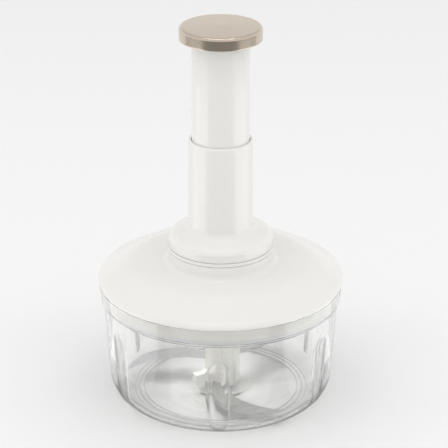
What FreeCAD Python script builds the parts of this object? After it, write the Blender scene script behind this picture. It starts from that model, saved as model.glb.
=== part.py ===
import FreeCAD, Part
import math
import os

import Sketcher

# Press-top food chopper. The frame is the chopper's own: millimetres, +Z up, the origin on the table
# under the bowl's centre, -Y towards the user. Every sub-part turns about or stands on the Z axis.

# ---------------------------------------------------------------------------------------------
# Driving dimensions, in millimetres and degrees
# ---------------------------------------------------------------------------------------------

SIZES = {
    # Bowl: a clear beaker with a wide band round its mouth and upright flutes pressed into its wall
    "bowl_standoff": 0.8,
    "bowl_body_radius": 73.2,
    "bowl_taper": 4.2,
    "bowl_corner_radius": 14.5,
    "bowl_wall": 2.2,
    "bowl_floor": 2.2,
    "bowl_body_height": 66.0,
    "band_step_height": 1.5,
    "band_step": 1.4,
    "band_flare": 1.4,
    "band_height": 10.7,
    "band_wall": 2.0,
    "rim_rounding": 0.8,
    "ledge_rise": 0.2,
    "flute_count": 6,
    "flute_first_angle": -91.0,
    "flute_width": 11.7,
    "flute_depth": 2.8,
    "flute_drop": 11.1,
    "floor_disc_radius": 19.0,
    "floor_disc_height": 0.5,
    "floor_boss_radius": 5.6,
    "floor_boss_height": 2.2,
    "foot_ring_inset": 2.5,
    "foot_ring_width": 3.2,
    "foot_groove_depth": 1.2,
    # Floor pin, hub and its bush
    "pin_radius": 3.0,
    "pin_depth": 2.2,
    "pin_above_bush": 3.5,
    "pin_rounding": 1.0,
    "hub_lift": 0.3,
    "hub_bush_lift": 0.08,
    "hub_radius": 10.0,
    "hub_shoulder_gap": 2.0,
    "hub_shoulder_rounding": 1.0,
    "hub_bore_spare": 0.6,
    "hub_bush_wall": 1.9,
    "hub_bush_length": 8.0,
    "hub_hex_flats": 11.6,
    "hub_hex_engagement": 8.5,
    "fin_thickness": 5.0,
    "fin_first_angle": -145.0,
    "fin_step_angle": 120.0,
    "front_left_fin_reach": 10.0,
    "front_left_fin_rise": 1.0,
    "front_left_fin_height": 12.5,
    "front_left_fin_bevel": 3.5,
    "front_right_fin_reach": 3.5,
    "front_right_fin_rise": 1.5,
    "front_right_fin_height": 33.0,
    "front_right_fin_bevel": 2.5,
    "rear_fin_reach": 3.5,
    "rear_fin_rise": 1.0,
    "rear_fin_height": 23.5,
    "rear_fin_bevel": 2.5,
    # Sickle blades, described with the tip on +X
    "blade_thickness": 1.2,
    "blade_tip_gap": 10.0,
    "lower_blade_shortening": 0.5,
    "blade_tip_width": 1.0,
    "blade_cutting_bow": 18.46,
    "blade_inner_bow": 8.71,
    "blade_heel_along": 4.0,
    "blade_heel_across": 14.0,
    "blade_throat_along": 9.0,
    "blade_throat_across": 7.0,
    "blade_tang_heel_along": 2.5,
    "blade_tang_heel_across": 8.5,
    "blade_tang_throat_along": 6.5,
    "blade_tang_throat_across": 2.5,
    "blade_bevel_width": 2.4,
    "blade_edge_land": 0.25,
    "lower_blade_rise": 1.8,
    "middle_blade_rise": 10.3,
    "upper_blade_rise": 7.4,
    "lower_blade_angle": -48.5,
    "middle_blade_angle": 191.5,
    "upper_blade_angle": 71.5,
    # Lid shell: neck, nearly flat deck, falling crown, rounded edge, and a skirt inside the bowl's band
    "lid_wall": 2.2,
    "lid_rim_gap": 0.15,
    "lid_edge_rise": 3.25,
    "lid_edge_rounding": 4.0,
    "lid_crown_span": 17.0,
    "lid_crown_rise": 8.65,
    "lid_crown_fullness": 0.45,
    "lid_inner_edge_rounding": 1.5,
    "lid_neck_rise": 9.0,
    "lid_neck_fillet": 4.0,
    "skirt_wall": 1.8,
    "skirt_gap": 0.35,
    "seal_seat_gap": 0.05,
    "seal_height": 2.55,
    "seal_width": 5.95,
    "underplate_thickness": 2.0,
    "underplate_bore_gap": 1.8,
    "lid_screw_inset": 20.5,
    "lid_screw_count": 4,
    "lid_screw_angle": 45.0,
    "lid_screw_boss_radius": 3.4,
    "lid_screw_length": 10.0,
    # Handle sleeve and collar ring
    "seam_rounding": 0.45,
    "collar_height": 2.6,
    "collar_wall": 2.1,
    "collar_overhang": 0.6,
    "sleeve_tube_wall": 1.7,
    "sleeve_tube_draft": 0.6,
    "sleeve_tube_height": 57.8,
    "sleeve_top_rounding": 0.8,
    "sleeve_shoulder_width": 12.0,
    "sleeve_shoulder_rise": 3.6,
    "sleeve_shoulder_rounding": 4.5,
    "sleeve_skirt_height": 7.4,
    "sleeve_neck_fillet": 4.5,
    "sleeve_wall": 2.2,
    "spigot_depth": 2.4,
    "guide_depth": 1.0,
    "sleeve_screw_inset": 4.6,
    "sleeve_screw_count": 3,
    "sleeve_screw_angle": 30.0,
    "sleeve_screw_boss_radius": 3.1,
    "sleeve_screw_length": 14.0,
    # Drive housing: a cup that hangs in the neck, with a flange under the deck
    "housing_floor": 2.5,
    "housing_disc_gap": 1.2,
    "housing_ledge": 1.7,
    "housing_wall": 2.1,
    "housing_flange_width": 6.9,
    "housing_flange_thickness": 2.0,
    "shaft_seal_width": 2.8,
    "shaft_seal_height": 1.5,
    "bearing_plate_thickness": 2.0,
    "rod_bush_wall": 2.0,
    "rod_bush_flange_width": 1.42,
    "rod_bush_flange_thickness": 1.0,
    # Output coupling: lower half of the one-way clutch, with a hexagonal socket for the hub
    "thrust_washer_thickness": 0.6,
    "thrust_washer_overhang": 0.2,
    "coupling_disc_inset": 1.6,
    "coupling_disc_thickness": 3.0,
    "coupling_stub_wall": 2.27,
    "coupling_stub_drop": 8.9,
    "coupling_socket_spare": 0.8,
    "hex_socket_gap": 0.2,
    "ratchet_tooth_count": 8,
    "ratchet_tooth_height": 1.5,
    "ratchet_inner_radius": 8.0,
    "ratchet_inset": 2.0,
    "ratchet_mesh_gap": 0.3,
    "ratchet_flank_angle": 2.5,
    "driver_disc_thickness": 2.2,
    "driver_hub_wall": 2.45,
    "driver_hub_height": 1.8,
    "clutch_spring_height": 3.25,
    "clutch_spring_wire_radius": 0.4,
    "clutch_spring_hub_gap": 2.35,
    "clutch_spring_turns": 2,
    # Spiral drive rod: a flat bar with a left-hand twist on a round journal
    "rod_journal_radius": 4.0,
    "rod_collar_width": 2.5,
    "rod_collar_thickness": 1.2,
    "rod_thickness": 3.0,
    "rod_twist_lead": 45.0,
    "stop_washer_radius": 6.5,
    "stop_washer_thickness": 1.4,
    # Plunger: tube, drive nut, return spring and push cap
    "plunger_radius": 17.6,
    "plunger_wall": 1.8,
    "plunger_stroke": 56.0,
    "plunger_floor_gap": 3.7,
    "nut_inset": 10.3,
    "nut_height": 6.7,
    "nut_slot_gap": 0.3,
    "nut_stop_gap": 0.3,
    "nut_pin_radius": 1.2,
    "nut_pin_length": 5.0,
    "nut_pin_angle": 90.0,
    "nut_pin_count": 2,
    "return_spring_wire_radius": 0.7,
    "return_spring_tube_gap": 2.0,
    "return_spring_turns": 9,
    "cap_overhang": 7.3,
    "cap_travel_gap": 6.8,
    "cap_height": 8.1,
    "cap_crown": 0.4,
    "cap_edge_rounding": 2.8,
    "cap_skirt_rounding": 0.6,
    "cap_wall": 2.2,
    "cap_boss_radius": 4.5,
    "cap_boss_drop": 3.6,
    "insert_wall": 1.6,
    "insert_web": 2.0,
    "insert_depth": 10.0,
    # Screws and fits
    "screw_shank_radius": 1.4,
    "screw_head_radius": 2.7,
    "screw_head_height": 1.7,
    "screw_hole_gap": 0.2,
    "small_screw_shank_radius": 0.9,
    "small_screw_head_radius": 2.4,
    "small_screw_length": 7.0,
    "running_gap": 0.08,
    "free_gap": 0.3,
    "fixed_gap": 0.05,
}


class Size:
    """A length or angle: its value now, and the sheet expression that it is worked out from."""

    def __init__(self, value, text):
        self.value = float(value)
        self.text = text

    def combined(self, other, sign, value):
        """Join two sizes under one arithmetic sign."""
        return Size(value, f"({self.text} {sign} {as_size(other).text})")

    def __add__(self, other):
        return self.combined(other, "+", self.value + as_size(other).value)

    def __sub__(self, other):
        return self.combined(other, "-", self.value - as_size(other).value)

    def __mul__(self, other):
        return self.combined(other, "*", self.value * as_size(other).value)

    def __truediv__(self, other):
        return self.combined(other, "/", self.value / as_size(other).value)

    def __neg__(self):
        return Size(-self.value, f"(0 - {self.text})")


def as_size(number):
    """Give a plain number the same form as a size from the sheet."""
    return number if isinstance(number, Size) else Size(number, repr(number))


def cosine(angle):
    """Cosine of an angle in degrees."""
    angle = as_size(angle)
    return Size(math.cos(math.radians(angle.value)), f"cos({angle.text})")


def sine(angle):
    """Sine of an angle in degrees."""
    angle = as_size(angle)
    return Size(math.sin(math.radians(angle.value)), f"sin({angle.text})")


def square_root(size):
    """Square root of a size."""
    return Size(math.sqrt(size.value), f"sqrt({size.text})")


def arctangent(slope):
    """Angle in degrees of a slope."""
    return Size(math.degrees(math.atan(slope.value)), f"atan({slope.text})")


class Sheet:
    """The spreadsheet of driving dimensions, read by name as sizes."""

    def __init__(self, document, sizes):
        self.cells = document.addObject("Spreadsheet::Sheet", "sizes")
        self.values = sizes
        for row, (name, value) in enumerate(sizes.items(), start=1):
            self.cells.set(f"A{row}", name)
            self.cells.set(f"B{row}", str(value))
            self.cells.setAlias(f"B{row}", name)

    def __getattr__(self, name):
        return Size(self.values[name], f"sizes.{name}")


doc = FreeCAD.newDocument("food_chopper")
size = Sheet(doc, SIZES)
doc.recompute()

# ---------------------------------------------------------------------------------------------
# Tools: outlines, bodies and features bound to the sheet
# ---------------------------------------------------------------------------------------------

UP = FreeCAD.Vector(0, 0, 1)


def bind(target, path, length):
    """Tie one property of an object to the sheet."""
    target.setExpression(path, as_size(length).text)


def new_body(name):
    """Start a PartDesign body."""
    body = doc.addObject("PartDesign::Body", name)
    body.Label = name
    return body


def origin_feature(body, role):
    """Find one of the body's own origin planes or axes by its role."""
    return next(item for item in body.Origin.OriginFeatures if item.Role == role)


def new_sketch(body, role="XZ_Plane", height=0.0):
    """Attach an empty sketch to one of the body's origin planes, raised by a height along its normal."""
    sketch = body.newObject("Sketcher::SketchObject", body.Name + "_outline")
    sketch.AttachmentSupport = [(origin_feature(body, role), "")]
    sketch.MapMode = "FlatFace"
    bind(sketch, ".AttachmentOffset.Base.z", height)
    return sketch


def dimension(sketch, kind, references, length):
    """Add one driving dimension to a sketch and tie it to the sheet."""
    length = as_size(length)
    index = sketch.addConstraint(Sketcher.Constraint(kind, *references, length.value))
    sketch.setExpression(f"Constraints[{index}]", length.text)


def pin_point(sketch, geometry, vertex, across, up):
    """Fix a sketch point at two coordinates, each measured from the origin or lying on an axis.

    A sketch numbers its own level axis -1, whose start is the origin, and its own upright axis -2.
    """
    for length, kind, axis in ((across, "DistanceX", -2), (up, "DistanceY", -1)):
        if isinstance(length, Size):
            dimension(sketch, kind, (-1, 1, geometry, vertex), length)
        else:
            sketch.addConstraint(Sketcher.Constraint("PointOnObject", geometry, vertex, axis))


def corner_arc(before, corner, after, rounding):
    """Work out the arc that rounds a corner: its centre, and where it leaves each side."""
    to_before = (before - corner).normalize()
    to_after = (after - corner).normalize()
    half_angle = to_before.getAngle(to_after) / 2
    reach = rounding / math.tan(half_angle)
    middle = (to_before + to_after).normalize()
    centre = corner + middle * (rounding / math.sin(half_angle))
    return centre, corner + to_before * reach, corner + to_after * reach


def draw_outline(sketch, corners):
    """Draw a closed outline of straight sides through corners of (across, up) or (across, up, rounding).

    A coordinate given as 0 lies on the axis. A rounded corner keeps its sharp corner as a fixed
    construction point, and its arc is tangent to both sides.
    """
    points = [FreeCAD.Vector(as_size(c[0]).value, as_size(c[1]).value, 0) for c in corners]
    count = len(corners)
    starts = list(points)
    ends = list(points)
    centres = [None] * count
    for number, corner in enumerate(corners):
        if len(corner) == 3:
            following = points[(number + 1) % count]
            arc = corner_arc(points[number - 1], points[number], following, corner[2].value)
            centres[number], ends[number], starts[number] = arc
    sides = [
        sketch.addGeometry(Part.LineSegment(starts[number], ends[(number + 1) % count]), False)
        for number in range(count)
    ]
    for number, corner in enumerate(corners):
        arriving = sides[number - 1]
        leaving = sides[number]
        if centres[number] is None:
            sketch.addConstraint(Sketcher.Constraint("Coincident", arriving, 2, leaving, 1))
            pin_point(sketch, leaving, 1, corner[0], corner[1])
        else:
            arc = (centres[number], ends[number], starts[number])
            round_corner(sketch, (arriving, leaving), corner, arc)


def round_corner(sketch, sides, corner, arc_points):
    """Join two sides with a tangent arc whose sharp corner is a fixed construction point."""
    arriving, leaving = sides
    centre, arc_start, arc_end = arc_points
    start_angle = math.atan2(arc_start.y - centre.y, arc_start.x - centre.x)
    end_angle = math.atan2(arc_end.y - centre.y, arc_end.x - centre.x)
    anticlockwise = (end_angle - start_angle) % (2 * math.pi) < math.pi
    if not anticlockwise:
        start_angle, end_angle = end_angle, start_angle
    circle = Part.Circle(centre, UP, corner[2].value)
    arc = sketch.addGeometry(Part.ArcOfCircle(circle, start_angle, end_angle), False)
    first, last = (1, 2) if anticlockwise else (2, 1)
    place = FreeCAD.Vector(as_size(corner[0]).value, as_size(corner[1]).value, 0)
    sharp = sketch.addGeometry(Part.Point(place), True)
    sketch.addConstraint(Sketcher.Constraint("Tangent", arriving, 2, arc, first))
    sketch.addConstraint(Sketcher.Constraint("Tangent", arc, last, leaving, 1))
    dimension(sketch, "Radius", (arc,), corner[2])
    pin_point(sketch, sharp, 1, corner[0], corner[1])
    sketch.addConstraint(Sketcher.Constraint("PointOnObject", sharp, 1, arriving))
    sketch.addConstraint(Sketcher.Constraint("PointOnObject", sharp, 1, leaving))


def turned(name, corners):
    """Make a body by turning a closed outline of (radius, height) corners about the Z axis."""
    body = new_body(name)
    sketch = new_sketch(body)
    draw_outline(sketch, corners)
    revolution = body.newObject("PartDesign::Revolution", name + "_turned")
    revolution.Profile = sketch
    revolution.ReferenceAxis = (sketch, ["V_Axis"])
    revolution.Angle = 360
    sketch.Visibility = False
    doc.recompute()
    return body


def ring(name, inner, outer, bottom, top):
    """Make a plain washer or tube."""
    return turned(name, [(inner, bottom), (outer, bottom), (outer, top), (inner, top)])


def place_primitive(feature, body, along, angle, bottom):
    """Attach a primitive to the body's XY plane, out along a radius at an angle, from a height up."""
    feature.AttachmentSupport = [(origin_feature(body, "XY_Plane"), "")]
    feature.MapMode = "FlatFace"
    bind(feature, ".AttachmentOffset.Base.x", as_size(along) * cosine(angle))
    bind(feature, ".AttachmentOffset.Base.y", as_size(along) * sine(angle))
    bind(feature, ".AttachmentOffset.Base.z", bottom)


def pattern_round(body, features, count):
    """Repeat features evenly round the Z axis."""
    pattern = body.newObject("PartDesign::PolarPattern", features[0].Name + "_pattern")
    pattern.Originals = features
    pattern.Axis = (origin_feature(body, "Z_Axis"), [""])
    pattern.Angle = 360
    bind(pattern, "Occurrences", count)
    body.Tip = pattern
    doc.recompute()


def upright_cylinder(body, kind, radius, bottom, top, along, angle):
    """Add or cut an upright cylinder that stands out along a radius."""
    feature = body.newObject(f"PartDesign::{kind}Cylinder", body.Name + "_cylinder")
    place_primitive(feature, body, along, angle, bottom)
    bind(feature, "Radius", radius)
    bind(feature, "Height", as_size(top) - bottom)
    doc.recompute()
    return feature


def cylinder_circle(body, kind, radius, bottom, top, circle, angle, count):
    """Add or cut a circle of equal upright cylinders."""
    first = upright_cylinder(body, kind, radius, bottom, top, circle, angle)
    pattern_round(body, [first], count)


def hexagon(name, flats, bottom, top):
    """Make an upright hexagonal prism from its size across flats."""
    prism = doc.addObject("Part::Prism", name)
    prism.Polygon = 6
    bind(prism, "Circumradius", as_size(flats) / square_root(as_size(3.0)))
    bind(prism, "Height", as_size(top) - bottom)
    bind(prism, ".Placement.Base.z", bottom)
    return prism


def joined(name, *shapes):
    """Fuse several objects into one piece."""
    fusion = doc.addObject("Part::MultiFuse", name)
    fusion.Label = name
    fusion.Shapes = list(shapes)
    fusion.Refine = True
    doc.recompute()
    return fusion


def cut_away(name, base, *tools):
    """Cut one or more tools from a piece."""
    tool = tools[0] if len(tools) == 1 else joined(name + "_tools", *tools)
    difference = doc.addObject("Part::Cut", name)
    difference.Label = name
    difference.Base = base
    difference.Tool = tool
    doc.recompute()
    return difference


def plain_feature(name, shape):
    """Hold a shape made with Part's own functions."""
    feature = doc.addObject("Part::Feature", name)
    feature.Label = name
    feature.Shape = shape
    return feature


def screw_circle(name, circle, count, angle, head_bottom, shank_top):
    """Make a group of equal screws standing on a circle, heads down."""
    body = new_body(name)
    body.AllowCompound = True
    neck = head_bottom + size.screw_head_height
    head = upright_cylinder(body, "Additive", size.screw_head_radius, head_bottom, neck, circle, angle)
    shank = upright_cylinder(body, "Additive", size.screw_shank_radius, neck, shank_top, circle, angle)
    pattern_round(body, [head, shank], count)
    return body


def coil(name, mean_radius, wire_radius, turns, bottom, top):
    """Make a compression spring that fills the height between two seats."""
    helix = doc.addObject("Part::Helix", name + "_path")
    bind(helix, "Radius", mean_radius)
    bind(helix, "Height", as_size(top) - bottom - as_size(wire_radius) * 2)
    bind(helix, "Pitch", (as_size(top) - bottom - as_size(wire_radius) * 2) / turns)
    bind(helix, ".Placement.Base.z", as_size(bottom) + wire_radius)
    wire = doc.addObject("Part::Circle", name + "_wire")
    wire.Placement = FreeCAD.Placement(FreeCAD.Vector(), FreeCAD.Rotation(FreeCAD.Vector(1, 0, 0), 90))
    bind(wire, "Radius", wire_radius)
    bind(wire, ".Placement.Base.x", mean_radius)
    bind(wire, ".Placement.Base.z", as_size(bottom) + wire_radius)
    sweep = doc.addObject("Part::Sweep", name)
    sweep.Label = name
    sweep.Sections = [wire]
    sweep.Spine = (helix, [])
    sweep.Solid = True
    sweep.Frenet = True
    doc.recompute()
    return sweep


def twisted_bar(name, width, thickness, bottom, top, twist_origin):
    """Make an upright flat bar twisted left-handed about the Z axis, flat across X at the twist's origin."""
    lead = size.rod_twist_lead.value
    start_angle = -360 * (bottom.value - twist_origin.value) / lead
    half_width = width.value / 2
    half_thickness = thickness.value / 2
    corners = [
        FreeCAD.Vector(x, y, 0)
        for x, y in (
            (-half_width, -half_thickness),
            (half_width, -half_thickness),
            (half_width, half_thickness),
            (-half_width, half_thickness),
        )
    ]
    section = Part.makePolygon([*corners, corners[0]])
    length = top.value - bottom.value
    spine = Part.Wire(Part.makeLine(FreeCAD.Vector(), UP * length))
    guide = Part.makeHelix(lead, length, half_width, 0, True)
    pipe = Part.BRepOffsetAPI.MakePipeShell(spine)
    pipe.setAuxiliarySpine(guide, False, 0)
    pipe.add(section)
    pipe.build()
    pipe.makeSolid()
    feature = plain_feature(name, pipe.shape())
    turn = FreeCAD.Rotation(UP, start_angle)
    feature.Placement = FreeCAD.Placement(FreeCAD.Vector(0, 0, bottom.value), turn)
    return feature


def ratchet_teeth(name, root_height, rise, sign):
    """Make a ring of saw teeth, each rising evenly with the angle from its root to an upright flank.

    A sign of 1 makes teeth that rise from the root height, and -1 makes their mates, which hang from it.
    """
    count = int(size.ratchet_tooth_count.value)
    pitch = 360 / count
    flank_gap = size.ratchet_flank_angle.value
    inner = size.ratchet_inner_radius.value
    outer = ratchet_radius.value
    sunk = size.free_gap.value

    def section(angle, height):
        """A radial quadrilateral from just inside the disc to the tooth's height."""
        across = FreeCAD.Vector(math.cos(math.radians(angle)), math.sin(math.radians(angle)), 0)
        root = UP * (root_height.value - sign * sunk)
        crest = UP * (root_height.value + sign * height)
        corners = [
            across * inner + root,
            across * outer + root,
            across * outer + crest,
            across * inner + crest,
        ]
        return Part.makePolygon([*corners, corners[0]])

    teeth = []
    for number in range(count):
        start = number * pitch
        low_angle, high_angle = start, start + pitch - flank_gap
        if sign < 0:
            low_angle, high_angle = high_angle, low_angle
        slope = rise.value * flank_gap / pitch
        tooth = Part.makeLoft([section(low_angle, slope), section(high_angle, rise.value)], True, True)
        teeth.append(tooth)
    return plain_feature(name, Part.makeCompound(teeth))


# ---------------------------------------------------------------------------------------------
# Heights and radii that several pieces share
# ---------------------------------------------------------------------------------------------

# Bowl
floor_top = size.bowl_standoff + size.bowl_floor
boss_top = floor_top + size.floor_boss_height
base_radius = size.bowl_body_radius - size.bowl_taper
bowl_bore_radius = size.bowl_body_radius - size.bowl_wall
band_bottom = size.bowl_standoff + size.bowl_body_height
band_radius = size.bowl_body_radius + size.band_step
rim_height = band_bottom + size.band_height
rim_radius = band_radius + size.band_flare
rim_bore_radius = rim_radius - size.band_wall
ledge_height = band_bottom + size.ledge_rise
ledge_radius = band_radius - size.band_wall
flute_top = band_bottom - size.flute_drop
foot_ring_radius = base_radius - size.bowl_corner_radius - size.foot_ring_inset
foot_ring_bore_radius = foot_ring_radius - size.foot_ring_width

# Lid
lid_rim_height = rim_height + size.lid_rim_gap
skirt_bottom = ledge_height + size.seal_seat_gap + size.seal_height
skirt_radius = ledge_radius
skirt_bore_radius = skirt_radius - size.skirt_wall
underplate_top = skirt_bottom + size.underplate_thickness
underplate_radius = skirt_bore_radius - size.fixed_gap
edge_height = rim_height + size.lid_edge_rise
deck_height = edge_height + size.lid_crown_rise
crown_radius = rim_radius - size.lid_crown_span
deck_underside = deck_height - size.lid_wall
neck_top = deck_height + size.lid_neck_rise
lid_screw_circle = skirt_bore_radius - size.lid_screw_inset

# Handle sleeve and collar, built outwards from the plunger
sleeve_bore_radius = size.plunger_radius + size.free_gap
sleeve_top_radius = sleeve_bore_radius + size.sleeve_tube_wall
sleeve_neck_radius = sleeve_top_radius + size.sleeve_tube_draft
sleeve_skirt_radius = sleeve_neck_radius + size.sleeve_shoulder_width
neck_radius = sleeve_skirt_radius + size.collar_overhang
neck_bore_radius = neck_radius - size.lid_wall
guide_bottom = neck_top - size.guide_depth
collar_top = neck_top + size.collar_height
shoulder_height = collar_top + size.sleeve_skirt_height
sleeve_neck_height = shoulder_height + size.sleeve_shoulder_rise
sleeve_top = sleeve_neck_height + size.sleeve_tube_height
sleeve_screw_circle = neck_bore_radius - size.sleeve_screw_inset
screw_hole_radius = size.screw_shank_radius + size.screw_hole_gap

# Output coupling and hub
socket_flats = size.hub_hex_flats + size.hex_socket_gap * 2.0
stub_radius = socket_flats / square_root(as_size(3.0)) + size.coupling_stub_wall
coupling_bottom = skirt_bottom - size.coupling_stub_drop
underplate_bore_radius = stub_radius + size.underplate_bore_gap
hex_top = coupling_bottom + size.hub_hex_engagement
hub_top = coupling_bottom - size.hub_shoulder_gap
disc_radius = size.plunger_radius - size.coupling_disc_inset
hub_bottom = boss_top + size.hub_lift
bush_top = hub_bottom + size.hub_bush_length
pin_top = bush_top + size.pin_above_bush
hub_bore_radius = size.pin_radius + size.running_gap
hub_bush_radius = hub_bore_radius + size.hub_bush_wall
blade_reach = bowl_bore_radius - size.blade_tip_gap
lower_blade_height = hub_bottom + size.lower_blade_rise
middle_blade_height = lower_blade_height + size.middle_blade_rise
upper_blade_height = middle_blade_height + size.upper_blade_rise

# Drive housing and clutch, stacked upwards from the underplate
housing_floor_top = underplate_top + size.housing_floor
housing_bore_radius = disc_radius + size.housing_disc_gap
housing_upper_radius = housing_bore_radius + size.housing_ledge
housing_radius = housing_upper_radius + size.housing_wall
flange_top = deck_underside - size.fixed_gap
flange_bottom = flange_top - size.housing_flange_thickness
flange_radius = neck_bore_radius + size.housing_flange_width
shaft_seal_radius = stub_radius + size.shaft_seal_width
disc_bottom = housing_floor_top + size.thrust_washer_thickness + size.fixed_gap
disc_top = disc_bottom + size.coupling_disc_thickness
ratchet_radius = disc_radius - size.ratchet_inset
driver_bottom = disc_top + size.ratchet_tooth_height + size.ratchet_mesh_gap
driver_top = driver_bottom + size.driver_disc_thickness
driver_hub_radius = size.rod_journal_radius + size.fixed_gap + size.driver_hub_wall
driver_hub_top = driver_top + size.driver_hub_height
plate_bottom = driver_top + size.clutch_spring_height
plate_top = plate_bottom + size.bearing_plate_thickness
rod_bush_bore_radius = size.rod_journal_radius + size.running_gap
rod_bush_radius = rod_bush_bore_radius + size.rod_bush_wall
rod_bush_flange_radius = rod_bush_radius + size.rod_bush_flange_width

# Rod and plunger
rod_bottom = driver_bottom + size.fixed_gap
rod_collar_radius = size.rod_journal_radius + size.rod_collar_width
rod_collar_bottom = plate_top + size.running_gap
rod_collar_top = rod_collar_bottom + size.rod_collar_thickness
plunger_bottom = plate_top + size.plunger_floor_gap + size.plunger_stroke
plunger_bore_radius = size.plunger_radius - size.plunger_wall
nut_bottom = plunger_bottom + size.nut_inset
nut_top = nut_bottom + size.nut_height
rod_top = nut_top + size.nut_stop_gap
cap_radius = size.plunger_radius + size.cap_overhang
cap_bottom = sleeve_top + size.plunger_stroke + size.cap_travel_gap
cap_top = cap_bottom + size.cap_height
cap_underside = cap_top - size.cap_wall
plunger_top = cap_underside - size.fixed_gap
cap_boss_bottom = cap_underside - size.cap_boss_drop
insert_web_bottom = cap_boss_bottom - size.insert_web

# ---------------------------------------------------------------------------------------------
# Bowl, floor pin and foot ring
# ---------------------------------------------------------------------------------------------


def bowl_outside():
    """The bowl's outer form: base corner, tapered wall, step and flared band."""
    return turned("bowl_outside", [
        (0, size.bowl_standoff),
        (base_radius, size.bowl_standoff, size.bowl_corner_radius),
        (size.bowl_body_radius, band_bottom - size.band_step_height),
        (band_radius, band_bottom),
        (rim_radius, rim_height, size.rim_rounding),
        (0, rim_height),
    ])


def bowl_inside():
    """The bowl's cavity: raised boss and disc on the floor, wall, ledge for the seal, and band."""
    floor_disc_top = floor_top + size.floor_disc_height
    mouth = rim_height + size.bowl_wall
    return turned("bowl_inside", [
        (0, boss_top),
        (size.floor_boss_radius, boss_top),
        (size.floor_boss_radius, floor_disc_top),
        (size.floor_disc_radius, floor_disc_top),
        (size.floor_disc_radius, floor_top),
        (base_radius - size.bowl_wall, floor_top, size.bowl_corner_radius - size.bowl_wall),
        (bowl_bore_radius, ledge_height),
        (ledge_radius, ledge_height),
        (rim_bore_radius, rim_height),
        (rim_bore_radius, mouth),
        (0, mouth),
    ])


def cut_flutes(body, offset):
    """Press the round-topped flutes into a body, their surface moved out by an offset.

    Each flute is a column that leans with the wall and ends in a ball. The first is cut on +X, and
    then the whole body is turned to the first flute's angle.
    """
    width = size.flute_width
    depth = size.flute_depth
    radius = (width * width / 4.0 + depth * depth) / (depth * 2.0)
    lean = size.bowl_taper / (size.bowl_body_height - size.band_step_height)
    # The ball that ends a flute meets the wall below its own top, by this much of its radius.
    wall_side = radius - depth
    ball_height = flute_top - square_root(radius * radius - wall_side * wall_side)
    cutter_bottom = -radius
    column = body.newObject("PartDesign::SubtractiveCylinder", body.Name + "_column")
    about_y = FreeCAD.Rotation(FreeCAD.Vector(0, 1, 0), 1)
    column.AttachmentOffset = FreeCAD.Placement(FreeCAD.Vector(), about_y)
    place_primitive(column, body, wall_radius(lean, cutter_bottom) + wall_side, 0.0, cutter_bottom)
    bind(column, ".AttachmentOffset.Rotation.Angle", arctangent(lean))
    bind(column, "Radius", radius + offset)
    bind(column, "Height", (ball_height - cutter_bottom) * square_root(lean * lean + 1.0))
    doc.recompute()
    pattern_round(body, [column], size.flute_count)
    ball = body.newObject("PartDesign::SubtractiveSphere", body.Name + "_ball")
    place_primitive(ball, body, wall_radius(lean, ball_height) + wall_side, 0.0, ball_height)
    bind(ball, "Radius", radius + offset)
    doc.recompute()
    pattern_round(body, [ball], size.flute_count)
    bind(body, ".Placement.Rotation.Angle", size.flute_first_angle)
    doc.recompute()


def wall_radius(lean, height):
    """Radius of the bowl's leaning wall, carried on below its corner, at a height."""
    return base_radius + lean * (height - size.bowl_standoff)


def make_bowl():
    """The clear bowl, with a groove for the foot ring and a socket for the floor pin."""
    outside = bowl_outside()
    cut_flutes(outside, as_size(0.0))
    inside = bowl_inside()
    cut_flutes(inside, size.bowl_wall)
    groove_top = size.bowl_standoff + size.foot_groove_depth
    groove = ring("foot_groove", foot_ring_bore_radius, foot_ring_radius, -size.bowl_floor, groove_top)
    socket = doc.addObject("Part::Cylinder", "pin_socket")
    bind(socket, "Radius", size.pin_radius)
    bind(socket, "Height", pin_top)
    bind(socket, ".Placement.Base.z", boss_top - size.pin_depth)
    return cut_away("bowl", outside, inside, groove, socket)


def make_foot_ring():
    """The soft ring that the bowl stands on."""
    top = size.bowl_standoff + size.foot_groove_depth
    return ring("foot_ring", foot_ring_bore_radius, foot_ring_radius, 0, top)


def make_floor_pin():
    """The steel pin that the hub turns on."""
    bottom = boss_top - size.pin_depth
    return turned("floor_pin", [
        (0, bottom),
        (size.pin_radius, bottom),
        (size.pin_radius, pin_top, size.pin_rounding),
        (0, pin_top),
    ])


# ---------------------------------------------------------------------------------------------
# Blades, hub and hub bush
# ---------------------------------------------------------------------------------------------


def edge_radius(start, end, bow):
    """Radius of the arc between two places that bows out by a given height over its chord."""
    along = end[0] - start[0]
    across = end[1] - start[1]
    chord_squared = along * along + across * across
    return chord_squared / (bow * 8.0) + bow / 2.0


def edge_centre(start, end, radius):
    """Centre of the circle of a given radius through two points, to the left of the way between them."""
    half = (end - start) * 0.5
    offset = math.sqrt(radius * radius - half.Length * half.Length)
    across = FreeCAD.Vector(-half.y, half.x, 0).normalize()
    return start + half + across * offset


def draw_edge(sketch, start, end, radius):
    """Draw one bowed edge of a blade, turning anticlockwise from start to end."""
    centre = edge_centre(start, end, radius.value)
    start_angle = math.atan2(start.y - centre.y, start.x - centre.x)
    end_angle = math.atan2(end.y - centre.y, end.x - centre.x)
    circle = Part.Circle(centre, UP, radius.value)
    edge = sketch.addGeometry(Part.ArcOfCircle(circle, start_angle, end_angle), False)
    dimension(sketch, "Radius", (edge,), radius)
    return edge, centre


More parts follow.
